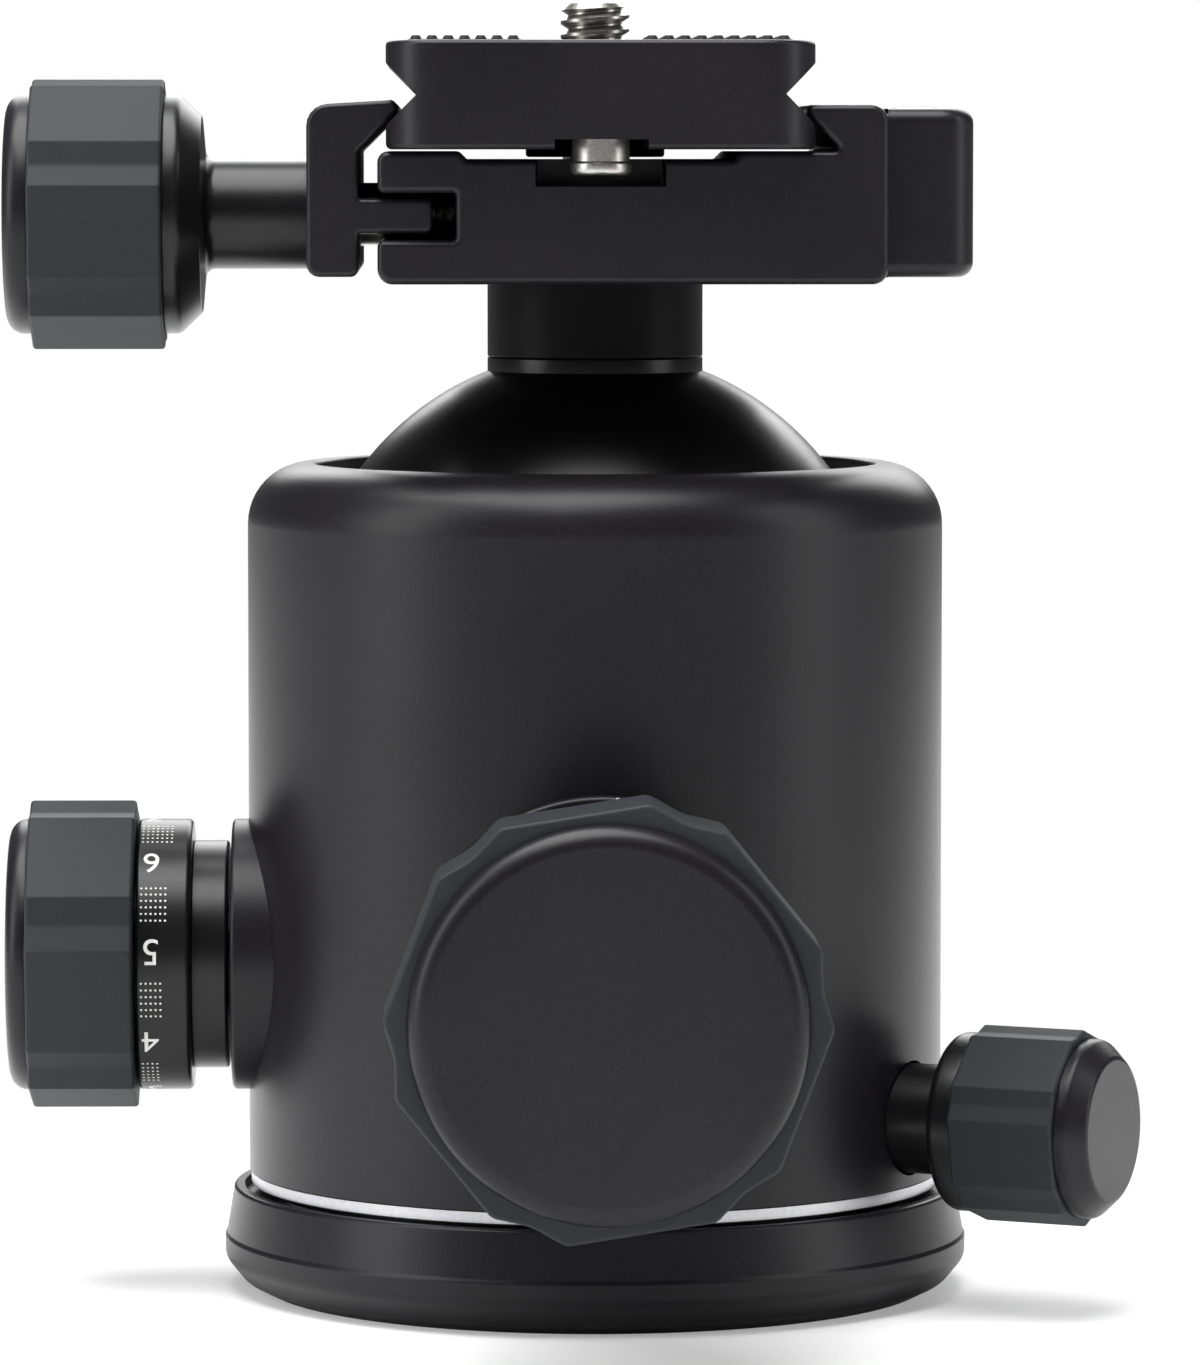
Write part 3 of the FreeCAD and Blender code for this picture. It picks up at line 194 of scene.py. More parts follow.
# Blasting leaves a satin black that catches the light in a fine, even sparkle.
blasted_anodising = grained(
    "blasted_black_anodised_aluminium", "09080a", "1b191d", 0.2, 0.02, 0.36, 0.0, 0.22)
base_profile = rounded([
    (BASE_BORE, 0), (30.6, 0, 0.25), (32.6, 1.0, 1.6), (34.25, 3.0, 1.6), (34.3, 4.9, 0.35),
    (34.1, 5.25, 0.2), (33.4, BASE_TOP, 0.4), (SEAT_RADIUS, BASE_TOP, 0.12),
    (SEAT_RADIUS, SEAT_HEIGHT, 0.1), (BASE_BORE, SEAT_HEIGHT),
], steps=6)
add_piece("base_dish", turned(base_profile, 224), "base", blasted_anodising, ["base_plate"])
finish_nodes(blasted_anodising, "base_plate")

# Inside the base. A threaded steel bush takes the tripod's screw, and a bare turned drum is
# screwed to the dish for the pan lock. Slip washers of natural acetal lie above and below.

# Turned aluminium is bright with a soft highlight; steel is a little warmer and darker.
bright_aluminium = grained(
    "bright_turned_aluminium", "a2a2a5", "b4b4b7", 0.5, 0.004, 0.34, 0.85)
stainless_steel = grained("stainless_steel", "8f8d88", "b0aea8", 0.35, 0.003, 0.3, 0.95)
# Black oxide is a dark, slightly oily grey; acetal is milky white and half matt.
black_steel = grained("black_oxide_steel", "121212", "1e1e1e", 0.4, 0.006, 0.4, 0.8)
acetal = grained("natural_acetal", "cfcdc6", "dddbd4", 0.6, 0.004, 0.45)
finish_nodes(bright_aluminium, "pan_drum")
finish_nodes(stainless_steel, "tripod_insert")
finish_nodes(black_steel, "drum_screws")
finish_nodes(acetal, "pan_washer_lower", "pan_washer_upper")

# Housing. A thick tube turned from solid, blasted and anodised black, with a broad rounded rim
# and a drop notch milled through its back. Three bores take the knobs' bushes, and a bright
# turned ring is pressed on its foot.

BALL_HEIGHT = 59.6
NOTCH_HALF = 11.0
NOTCH_TOP = 90.0
NOTCH_NEAR = -15.0
NOTCH_FAR = -40.0
NOTCH_STEPS = 32
FLAT_EDGE = 1e-6


def extruded(outline, start, finish, edge=0.0, place=Matrix.Identity(4), segments=4):
    """A bar in millimetres: an outline drawn out along Z, with the edges of its ends rounded."""
    mesh = bmesh.new()
    foot = mesh.faces.new([mesh.verts.new((point[0], point[1], start)) for point in outline])
    drawn = bmesh.ops.extrude_face_region(mesh, geom=[foot])["geom"]
    moved = [part for part in drawn if isinstance(part, bmesh.types.BMVert)]
    bmesh.ops.translate(mesh, vec=(0, 0, finish - start), verts=moved)
    bmesh.ops.recalc_face_normals(mesh, faces=mesh.faces)
    if edge:
        rims = [line for line in mesh.edges
                if abs(line.verts[0].co.z - line.verts[1].co.z) < FLAT_EDGE]
        bmesh.ops.bevel(mesh, geom=rims, offset=edge, offset_type="OFFSET", segments=segments,
                        profile=0.5, affect="EDGES", clamp_overlap=False, material=-1)
    bmesh.ops.transform(mesh, matrix=place, verts=mesh.verts)
    return mesh


def carved(base, cutter, how="DIFFERENCE"):
    """The mesh of base with the mesh of cutter taken away, or only where both are."""
    blocks = []
    for mesh in (base, cutter):
        bmesh.ops.recalc_face_normals(mesh, faces=mesh.faces)
        data = bpy.data.meshes.new("carving")
        mesh.to_mesh(data)
        mesh.free()
        block = bpy.data.objects.new("carving", data)
        bpy.context.scene.collection.objects.link(block)
        blocks.append(block)
    carver = blocks[0].modifiers.new("carve", "BOOLEAN")
    carver.operation = how
    carver.object = blocks[1]
    carver.solver = "EXACT"
    result = bmesh.new()
    result.from_mesh(blocks[0].evaluated_get(bpy.context.evaluated_depsgraph_get()).data)
    for block in blocks:
        data = block.data
        bpy.data.objects.remove(block)
        bpy.data.meshes.remove(data)
    return result


def drop_notch():
    """A slot with a round foot, open at the top, through the wall's far side."""
    outline = [Vector((-NOTCH_HALF, NOTCH_TOP))]
    for step in range(NOTCH_STEPS + 1):
        angle = math.pi + math.pi * step / NOTCH_STEPS
        outline.append(Vector((NOTCH_HALF * math.cos(angle),
                               BALL_HEIGHT + NOTCH_HALF * math.sin(angle))))
    outline.append(Vector((NOTCH_HALF, NOTCH_TOP)))
    return extruded(outline, NOTCH_FAR, NOTCH_NEAR, 0, Matrix.Rotation(math.radians(90), 4, "X"))


def outwards(height, azimuth):
    """Turns a part drawn along Z to point out of the housing; azimuth 0 is to the front."""
    upright = Matrix.Rotation(math.radians(90), 4, "X")
    turn = Matrix.Rotation(math.radians(azimuth), 4, "Z") @ upright
    return Matrix.Translation((0, 0, height)) @ turn


KNOB_HEIGHT = 30.8
PAN_KNOB_HEIGHT = 17.2
PAN_KNOB_TURN = 63
main_place = outwards(KNOB_HEIGHT, 0)
friction_place = outwards(KNOB_HEIGHT, -90)
pan_place = outwards(PAN_KNOB_HEIGHT, PAN_KNOB_TURN)

RING_TOP = 10.9
RING_RADIUS = 31.85
ring_profile = rounded([
    (30.95, 9.8), (RING_RADIUS, 9.8, 0.12), (RING_RADIUS, RING_TOP, 0.05), (30.95, RING_TOP)])
add_piece("bright_ring", turned(ring_profile, 224), "housing", bright_aluminium, ["trim_ring"])
finish_nodes(bright_aluminium, "trim_ring")

HOUSING_FOOT = 9.25
HOUSING_TOP = 76.3
HOUSING_RADIUS = 32.0
MOUTH_RADIUS = 25.7
LIP_FOOT = 69.0
CAVITY_RADIUS = 28.4
FLOOR_TOP = 13.55
DRUM_BORE = 16.1
housing_profile = rounded([
    (DRUM_BORE, HOUSING_FOOT), (30.9, HOUSING_FOOT, 0.1), (30.9, RING_TOP, 0.05),
    (HOUSING_RADIUS, RING_TOP, 0.15), (HOUSING_RADIUS, HOUSING_TOP, 5.6),
    (MOUTH_RADIUS, HOUSING_TOP, 0.45), (MOUTH_RADIUS, LIP_FOOT, 0.2),
    (CAVITY_RADIUS, LIP_FOOT, 0.2), (CAVITY_RADIUS, FLOOR_TOP, 0.3), (DRUM_BORE, FLOOR_TOP),
], steps=12)
housing_mesh = carved(turned(housing_profile, 256), drop_notch())
BORE_END = 40.0
for radius, inner, place in (
    (10.05, 15.0, main_place),
    (8.05, 15.0, friction_place),
    (5.25, 21.2, pan_place),
):
    bore_profile = [(0, inner), (radius, inner), (radius, BORE_END), (0, BORE_END)]
    housing_mesh = carved(housing_mesh, turned(bore_profile, 96, place))
add_piece("housing_shell", housing_mesh, "housing", blasted_anodising, ["housing"])
finish_nodes(blasted_anodising, "housing")

# Races. The ball is held between a slip ring of natural acetal behind the mouth's lip and a
# cup below it, which a steel pressure ring lifts; the main knob's wedge raises that ring.

RACE_RADIUS = 27.1
RACE_OUTSIDE = 28.35
RACE_FOOT = 62.0
RACE_TOP = 68.95
foot_reach, top_reach = [
    math.sqrt(RACE_RADIUS ** 2 - rise ** 2)
    for rise in (RACE_FOOT - BALL_HEIGHT, RACE_TOP - BALL_HEIGHT)]
race_profile = rounded([
    (foot_reach, RACE_FOOT), (RACE_OUTSIDE, RACE_FOOT), (RACE_OUTSIDE, RACE_TOP),
    (top_reach, RACE_TOP), (26.2, 66.5), (26.75, 64.0),
])
add_piece("slip_race", carved(turned(race_profile), drop_notch()), "housing", acetal,
          ["upper_race"])
finish_nodes(acetal, "upper_race", "ball_cup")
finish_nodes(stainless_steel, "lift_ring")

# Ball and neck. The ball is turned from aluminium, hard anodised and polished, and ends in a
# short stub. A plain anodised tube stands on the stub with a fine joint line.

BALL_RADIUS = 27.0
BALL_STEPS = 72
STUB_ANGLE = 68.48
STUB_TOP = 86.0
BOLT_BORE = 3.05
# Polished hard anodising is nearly black with soft glints; the neck's finish is darker and less
# glossy, as painted shade from the clamp above it.
polished_anodising = grained(
    "polished_black_anodised_aluminium", "040405", "09090a", 0.3, 0.002, 0.3, 0.0, 0.2)
shade_darkened_neck_anodising = grained(
    "shade_darkened_black_anodised_aluminium", "060606", "0e0e0f", 0.3, 0.003, 0.42, 0.0, 0.06)
# Turned and anodised without blasting, so it is smooth with a tighter highlight.
turned_anodising = grained(
    "turned_black_anodised_aluminium", "080809", "121214", 0.3, 0.004, 0.33, 0.0, 0.28)
ball_profile = []
for step in range(BALL_STEPS + 1):
    angle = math.radians(-90 + (90 + STUB_ANGLE) * step / BALL_STEPS)
    ball_profile.append(Vector((BALL_RADIUS * math.cos(angle),
                                BALL_HEIGHT + BALL_RADIUS * math.sin(angle))))
ball_profile[0].x = 0.0
ball_profile += rounded([
    (9.905, 84.72), (9.9, STUB_TOP, 0.12), (BOLT_BORE, STUB_TOP, 0.1), (BOLT_BORE, 72.0),
    (0, 72.0)], closed=False)[1:]
add_piece("polished_ball", turned(ball_profile, 224), "ball", polished_anodising, ["ball"])

NECK_RADIUS = 9.9
NECK_BORE = 3.0
NECK_FOOT = 86.06
CLAMP_FOOT = 93.1
neck_profile = rounded([
    (NECK_BORE, NECK_FOOT), (NECK_RADIUS, NECK_FOOT, 0.12), (NECK_RADIUS, CLAMP_FOOT, 0.05),
    (NECK_BORE, CLAMP_FOOT)])
# The neck's darker, less glossy finish is painted shade from the clamp above it.
add_piece("neck_tube", turned(neck_profile), "head", shade_darkened_neck_anodising, ["neck"])
finish_nodes(polished_anodising, "ball")
finish_nodes(shade_darkened_neck_anodising, "neck")
finish_nodes(stainless_steel, "neck_pins")
finish_nodes(black_steel, "clamp_bolt")

# Knob flanges. Round discs of black anodised aluminium, hollowed at the back so that they sit
# on the housing's wall. A printed white line on the main one marks the knob's stop.

FLANGE_FOOT = 20
FLANGE_FACE = 33.5
SADDLE_RADIUS = 32.02
for name, radius, bore, place, node in (
    ("main_flange", 17.4, 6.05, main_place, "main_bush"),
    ("friction_flange", 12.5, 5.05, friction_place, "friction_bush"),
):
    disc_profile = rounded([
        (bore, FLANGE_FOOT), (radius, FLANGE_FOOT), (radius, FLANGE_FACE, 0.45),
        (bore, FLANGE_FACE)])
    wall = turned([(0, 5), (SADDLE_RADIUS, 5), (SADDLE_RADIUS, 60), (0, 60)], 256)
    add_piece(name, carved(turned(disc_profile, 160, place), wall), "housing",
              blasted_anodising, [node])
    finish_nodes(blasted_anodising, node)

PRINT_DEPTH = 0.01
LINE_LIFT = 0.015
# Screen-printed enamel is a flat, slightly warm white.
white_print = grained("white_printed_enamel", "d2d2ce", "e2e2de", 0.4, 0.002, 0.5)
line_mesh = bmesh.new()
line_corners = [line_mesh.verts.new((x, y, FLANGE_FACE + LINE_LIFT))
                for x, y in ((1.15, 16.1), (1.5, 16.1), (1.5, 17.3), (1.15, 17.3))]
line_face = line_mesh.faces.new(line_corners)
bmesh.ops.solidify(line_mesh, geom=[line_face], thickness=PRINT_DEPTH)
bmesh.ops.transform(line_mesh, matrix=main_place, verts=line_mesh.verts)
add_piece("index_line", line_mesh, "housing", white_print)

# Knobs. Each hub and cap is turned from black anodised bar; the cap is a flat disc with a well
# rounded rim that holds the grip against the hub's collar. Screws and wedges inside are bare.

CLAMP_SCREW_HEIGHT = 99.1
clamp_place = outwards(CLAMP_SCREW_HEIGHT, -90)
knob_places = {
    "main": main_place, "friction": friction_place, "pan": pan_place, "clamp": clamp_place}
# Where each grip starts and ends, outwards along its knob.
grip_ends = {
    "main": (48.1, 58.4), "friction": (42.3, 52.1), "pan": (39.1, 49.1), "clamp": (39.5, 51.7)}
# The hub's points of radius and distance outwards, up to its collar; then the radii of the
# screw's bore and of the spindle under the grip; then the cap's points above the grip's end.
knob_profiles = {
    "main": (
        [(6.0, 28.6, 0.2), (6.0, 33.8), (14.2, 33.8, 0.3), (14.2, 42.0, 0.5), (16.9, 44.4, 0.6),
         (16.9, 48.1, 0.1)],
        4.05, 15.4,
        [(17.2, 58.4, 0.1), (17.2, 60.5, 1.9), (0, 60.5)]),
    "friction": (
        [(5.0, 28.6, 0.2), (5.0, 33.8), (10.5, 33.8, 0.3), (10.5, 37.05, 0.1)],
        3.05, 9.0,
        [(12.5, 52.1, 0.1), (12.5, 54.0, 1.6), (0, 54.0)]),
    "pan": (
        [(5.0, 31.2, 0.2), (5.0, 36.6, 0.1), (8.1, 36.6, 0.9), (8.1, 39.1, 0.1)],
        2.05, 7.0,
        [(8.1, 49.1, 0.1), (8.1, 50.1, 0.9), (6.5, 51.8, 0.7), (0, 51.8)]),
    "clamp": (
        [(5.0, 26.2, 0.2), (5.0, 35.7, 0.9), (9.0, 36.07, 0.3), (10.95, 38.1, 1.0),
         (10.95, 39.5, 0.1)],
        2.95, 9.4,
        [(10.95, 51.7, 0.1), (10.95, 54.0, 1.6), (0, 54.0)]),
}
for name, (collar, bore, spindle, rim) in knob_profiles.items():
    place = knob_places[name]
    grip_end = grip_ends[name][1]
    hub_profile = [(bore, collar[0][1]), *collar, (spindle, collar[-1][1]),
                   (spindle, grip_end), (bore, grip_end)]
    add_piece(f"{name}_knob_hub", turned(rounded(hub_profile), 160, place), f"{name}_knob",
              turned_anodising, [f"{name}_hub"])
    cap_profile = rounded([(0, grip_end), *rim], closed=False, steps=8)
    add_piece(f"{name}_knob_cap", turned(cap_profile, 192, place), f"{name}_knob",
              blasted_anodising, [f"{name}_cap"])
    finish_nodes(turned_anodising, f"{name}_hub", f"{name}_cap")
    finish_nodes(stainless_steel, f"{name}_screw")
# Brass is a dull yellow where it is turned and not lacquered.
turned_brass = grained("turned_brass", "8a6b2e", "a9853d", 0.4, 0.004, 0.3, 0.95)
finish_nodes(stainless_steel, "main_wedge", "friction_wedge")
finish_nodes(acetal, "pan_pad")
finish_nodes(turned_brass, "pan_guide")

# Grips. Moulded rubber rings with six broad flats and a shallow hollow between each two, with
# softly bent edges. Each is pushed on its hub and held by the cap.

HOLLOW_HALF = math.radians(10.3)
GRIP_FLATS = 6
# Rubber is matt and slightly blue beside the metal.
grip_rubber = grained("moulded_grip_rubber", "1d1f22", "272a2d", 0.25, 0.01, 0.6, 0.0, 0.22)


def grip_outline(radius, turn, depth, bend):
    """A ring of six flats with a shallow hollow between each two; the edges are bent softly."""
    corners = []
    for index in range(GRIP_FLATS):
        middle = math.radians(turn + 360 / GRIP_FLATS * index)
        for angle, reach, soft in (
            (middle - HOLLOW_HALF, radius, bend),
            (middle, radius * math.cos(HOLLOW_HALF) - depth, 4 * bend),
            (middle + HOLLOW_HALF, radius, bend),
        ):
            corners.append((reach * math.cos(angle), reach * math.sin(angle), soft))
    return rounded(corners, steps=6)


for name, radius, turn, depth, bend in (
    ("main", 19.25, 9.0, 0.5, 1.4),
    ("friction", 14.35, 17.0, 0.42, 0.4),
    ("pan", 8.95, -18.0, 0.2, 0.4),
    ("clamp", 12.4, 22.7, 0.42, 0.4),
):
    grip_mesh = extruded(grip_outline(radius, turn, depth, bend), *grip_ends[name], 0.35,
                         knob_places[name])
    add_piece(f"{name}_rubber_grip", grip_mesh, f"{name}_knob", grip_rubber, [f"{name}_grip"],
              sharp=40)
    finish_nodes(grip_rubber, f"{name}_grip")

# Friction dial. A turned ring with its scale printed in white: the numbers 1 to 8, and between
# each two a field of fine dots that gains one column with each number.

DIAL_BORE = 9.05
DIAL_RADIUS = 12.5
DIAL_FOOT = 37.1
DIAL_TOP = 42.1
dial_profile = rounded([
    (DIAL_BORE, DIAL_FOOT), (DIAL_RADIUS, DIAL_FOOT, 0.5), (DIAL_RADIUS, DIAL_TOP, 0.35),
    (DIAL_BORE, DIAL_TOP)], steps=6)
add_piece("dial_ring", turned(dial_profile, 192, friction_place), "friction_knob",
          turned_anodising, ["friction_dial"])
finish_nodes(turned_anodising, "friction_dial")

PRINT_RADIUS = 12.515
LAST_NUMBER = 8
NUMBER_TURN = 41.0
FIVE_TURN = 6.8
NUMBER_HEIGHT = 2.36
NUMBER_START = 40.0
DOT_RADIUS = 0.105
DOT_ROWS = 6
DOT_ROW_TURN = 2.9
DOT_START = 41.56
DOT_COLUMN = 0.44
BAND_HEIGHT = 0.2
BANDS = 9
print_mesh = bmesh.new()
for number in range(1, LAST_NUMBER + 1):
    middle = FIVE_TURN + NUMBER_TURN * (number - 5)
    curve = bpy.data.curves.new("number", "FONT")
    curve.body = str(number)
    curve.resolution_u = 6
    text = bpy.data.objects.new("number", curve)
    bpy.context.scene.collection.objects.link(text)
    drawn = text.evaluated_get(bpy.context.evaluated_depsgraph_get())
    flat = bpy.data.meshes.new_from_object(drawn)
    bpy.data.objects.remove(text)
    marks = bmesh.new()
    marks.from_mesh(flat)
    low = min(vert.co.y for vert in marks.verts)
    high = max(vert.co.y for vert in marks.verts)
    left = min(vert.co.x for vert in marks.verts)
    scale = NUMBER_HEIGHT / (high - low)
    bmesh.ops.translate(marks, vec=(-left, -(low + high) / 2, 0), verts=marks.verts)
    bmesh.ops.scale(marks, vec=(scale, scale, 0), verts=marks.verts)
    bmesh.ops.translate(marks, vec=(NUMBER_START, 0, 0), verts=marks.verts)
    if number < LAST_NUMBER:
        for column in range(number + 1):
            for row in range(DOT_ROWS):
                turn = NUMBER_TURN / 2 + (row - (DOT_ROWS - 1) / 2) * DOT_ROW_TURN
                spot = Matrix.Translation((DOT_START - DOT_COLUMN * column,
                                           -math.radians(turn) * PRINT_RADIUS, 0))
                bmesh.ops.create_circle(marks, cap_ends=True, segments=8, radius=DOT_RADIUS,
                                        matrix=spot)
    # Cut into narrow bands, so that each face bends round the ring.
    for band in range(-BANDS, BANDS + 1):
        parts = marks.verts[:] + marks.edges[:] + marks.faces[:]
        bmesh.ops.bisect_plane(marks, geom=parts, dist=1e-5, plane_no=(0, 1, 0),
                               plane_co=(0, band * BAND_HEIGHT, 0))
    for vert in marks.verts:
        angle = math.radians(middle) - vert.co.y / PRINT_RADIUS
        vert.co = (PRINT_RADIUS * math.cos(angle), PRINT_RADIUS * math.sin(angle), vert.co.x)
    marks.to_mesh(flat)
    marks.free()
    print_mesh.from_mesh(flat)
bmesh.ops.solidify(print_mesh, geom=print_mesh.faces[:], thickness=PRINT_DEPTH)
bmesh.ops.transform(print_mesh, matrix=friction_place, verts=print_mesh.verts)
add_piece("dial_print", print_mesh, "friction_knob", white_print)

# Clamp. Milled from bar and blasted black, with softly broken edges: an undercut fixed jaw at
# the right, a channel under the plate, the tongue's slot and two end pockets for the stop pins.
# A broad boss beside the fixed jaw carries the spirit level.

ALONG = Matrix.Rotation(math.radians(90), 4, "X")
CLAMP_HALF = 26.0
CLAMP_LEFT = -19.8
CLAMP_RIGHT = 25.5
CLAMP_TOP = 104.9
CHANNEL_FLOOR = 104.15
FIXED_JAW_TOP = 109.0
SLOT_FOOT = 97.0
SLOT_TOP = 101.2
SLOT_END = -12.85
POCKET_HALF = 5.8
POCKET_FOOT = 101.75
LEVEL_X = 29.4
LEVEL_FOOT = 104.3
clamp_outline = rounded([
    (CLAMP_LEFT, CLAMP_FOOT, 1.3), (CLAMP_RIGHT, CLAMP_FOOT, 1.3),
    (CLAMP_RIGHT, FIXED_JAW_TOP, 1.5), (17.34, FIXED_JAW_TOP, 0.62), (21.44, CLAMP_TOP, 0.3),
    (12.55, CLAMP_TOP, 0.62), (11.8, CHANNEL_FLOOR, 0.3), (-11.8, CHANNEL_FLOOR, 0.3),
    (-12.55, CLAMP_TOP, 0.62), (CLAMP_LEFT, CLAMP_TOP, 1.0), (CLAMP_LEFT, SLOT_TOP, 0.62),
    (SLOT_END, SLOT_TOP, 0.3), (SLOT_END, SLOT_FOOT, 0.3), (CLAMP_LEFT, SLOT_FOOT, 0.62),
])
clamp_mesh = extruded(clamp_outline, -CLAMP_HALF, CLAMP_HALF, 0.6, ALONG)
pocket_outline = rounded([
    (-POCKET_HALF, 21.3, 0.5), (POCKET_HALF, 21.3, 0.5), (POCKET_HALF, 30.0),
    (-POCKET_HALF, 30.0)])
for side in (0, 180):
    turn = Matrix.Rotation(math.radians(side), 4, "Z")
    clamp_mesh = carved(clamp_mesh, extruded(pocket_outline, POCKET_FOOT, 107.0, 0, turn))
bolt_recess = turned([(0, 100.6), (5.1, 100.6), (5.1, 107.0), (0, 107.0)], 64)
add_piece("clamp_block", carved(clamp_mesh, bolt_recess), "head", blasted_anodising,
          ["clamp_body"], sharp=40)

boss_outline = rounded([
    (24.6, -19.0, 0.2), (33.7, -19.0, 3.0), (33.7, 19.0, 3.0), (24.6, 19.0, 0.2)], steps=8)
boss_mesh = extruded(boss_outline, 93.6, 108.7, 1.3, segments=6)
level_place = Matrix.Translation((LEVEL_X, 0, 0))
level_hole = turned([(0, LEVEL_FOOT), (3.35, LEVEL_FOOT), (3.35, 112.0), (0, 112.0)], 64,
                    level_place)
add_piece("level_boss", carved(boss_mesh, level_hole), "head", blasted_anodising, sharp=40)
finish_nodes(blasted_anodising, "clamp_body")

# Spirit level. A bright turned cup pressed in the boss, filled with liquid under a clear lens,
# with a printed ring for the bubble.

CUP_RADIUS = 3.3
CUP_BORE = 2.9
CUP_TOP = 108.8
CUP_FLOOR = 104.7
# The liquid is a clear yellow-green that shines through its lens.
level_liquid = grained("level_liquid", "9bb53a", "b4cc4a", 1.5, 0.001, 0.1, 0.0, 0.5, 0.6)
cup_profile = rounded([
    (0, LEVEL_FOOT), (CUP_RADIUS, LEVEL_FOOT), (CUP_RADIUS, CUP_TOP, 0.1),
    (CUP_BORE, CUP_TOP, 0.1), (CUP_BORE, CUP_FLOOR), (0, CUP_FLOOR)], closed=False)
add_piece("level_ring", turned(cup_profile, 64, level_place), "head", bright_aluminium,
          ["level_cup"])
# Hard black rubber and print, quite matt.
pad_rubber = grained("moulded_pad_rubber", "0a0a0b", "131314", 0.2, 0.008, 0.7, 0.0, 0.3)
mark_profile = [(1.25, 108.4), (1.4, 108.4), (1.4, 108.62), (1.25, 108.62)]
add_piece("level_mark", turned(mark_profile, 48, level_place), "head", pad_rubber)
finish_nodes(bright_aluminium, "level_cup")
finish_nodes(level_liquid, "level_lens")

# Moving jaw. A blasted black bar with a rounded outer edge and an undercut inner one; its tongue
# runs in the clamp's slot, split in the middle for the screw, and two steel springs push it open.

JAW_HALF = 25.0
JAW_OUTSIDE = -26.1
JAW_INSIDE = -21.5
TONGUE_FOOT = 97.6
TONGUE_TOP = 100.7
TONGUE_END = -14.95
SPLIT_HALF = 3.8
jaw_outline = rounded([
    (JAW_OUTSIDE, 93.75, 1.1), (JAW_INSIDE, 93.75, 0.7), (JAW_INSIDE, TONGUE_FOOT, 0.3),
    (TONGUE_END, TONGUE_FOOT, 0.62), (TONGUE_END, TONGUE_TOP, 0.62),
    (JAW_INSIDE, TONGUE_TOP, 0.3), (JAW_INSIDE, 104.84, 0.4), (-17.7, 108.64, 0.55),
    (-18.4, 109.45, 0.55), (JAW_OUTSIDE, 109.0, 2.0),
])
jaw_mesh = extruded(jaw_outline, -JAW_HALF, JAW_HALF, 0.5, ALONG)
split_outline = [(-21.4, -SPLIT_HALF), (-14.0, -SPLIT_HALF), (-14.0, SPLIT_HALF),
                 (-21.4, SPLIT_HALF)]
split = extruded(split_outline, 97.0, 101.4)
add_piece("jaw_bar", carved(jaw_mesh, split), "jaw", blasted_anodising, ["jaw"], sharp=40)
finish_nodes(blasted_anodising, "jaw")

SPRING_TURNS = 8
SPRING_STEPS = 24
SPRING_RADIUS = 1.1
SPRING_START = -14.7
SPRING_LENGTH = 8.4
SPRING_SIDE = 18.0
WIRE_RADIUS = 0.2
spring_mesh = bmesh.new()
for side in (-SPRING_SIDE, SPRING_SIDE):
    centre = Vector((0, side, CLAMP_SCREW_HEIGHT))
    place = Matrix.Translation(centre + Vector((SPRING_START, 0, SPRING_RADIUS))) @ ALONG
    wire = bmesh.ops.create_circle(spring_mesh, cap_ends=True, segments=10, radius=WIRE_RADIUS,
                                   matrix=place)["verts"]
    bmesh.ops.spin(spring_mesh, geom=wire + list(wire[0].link_faces), cent=centre,
                   axis=(1, 0, 0), dvec=(SPRING_LENGTH / (SPRING_TURNS * SPRING_STEPS), 0, 0),
                   angle=FULL_TURN * SPRING_TURNS, steps=SPRING_TURNS * SPRING_STEPS,
                   use_merge=False, use_duplicate=False)
springs = add_piece("jaw_spring_coils", spring_mesh, "head", stainless_steel, ["jaw_springs"])
springs.modifiers.clear()
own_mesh(springs)
finish_nodes(stainless_steel, "jaw_springs")

# Camera plate. A blasted black dovetail bar with rounded corners in plan; its sides are drawn in
# to a V that the jaws grip, and a groove under it takes the stop pins.

PLATE_HALF = 19.04
PLATE_END = 30
PLATE_FOOT = 105.05
PLATE_TOP = 114.7
V_ROOT = 16.26
V_HEIGHT = 109.94
V_REACH = 8.0
GROOVE_HALF = 4.15
GROOVE_TOP = 105.95
plate_outline = rounded([
    (-PLATE_HALF, -PLATE_END, 5), (PLATE_HALF, -PLATE_END, 5), (PLATE_HALF, PLATE_END, 5),
    (-PLATE_HALF, PLATE_END, 5)], steps=12)
plate_mesh = extruded(plate_outline, PLATE_FOOT, PLATE_TOP, 0.5)
for side in (-1, 1):
    v_outline = rounded([
        (side * V_ROOT, V_HEIGHT, 0.12), (side * (V_ROOT + V_REACH), V_HEIGHT - V_REACH),
        (side * (V_ROOT + V_REACH), V_HEIGHT + V_REACH)])
    plate_mesh = carved(plate_mesh, extruded(v_outline, -40.0, 40.0, 0, ALONG))
groove_outline = [(-GROOVE_HALF, -40), (GROOVE_HALF, -40), (GROOVE_HALF, 40), (-GROOVE_HALF, 40)]
plate_mesh = carved(plate_mesh, extruded(groove_outline, 104.0, GROOVE_TOP))
screw_recess = turned([(0, 112.4), (5.0, 112.4), (5.0, 116.0), (0, 116.0)], 64)
add_piece("plate_bar", carved(plate_mesh, screw_recess), "plate", blasted_anodising, ["plate"],
          sharp=40)
finish_nodes(blasted_anodising, "plate")

# Pads. Two moulded rubber strips bonded on the plate, their tops covered with small round nubs
# that hold the camera.

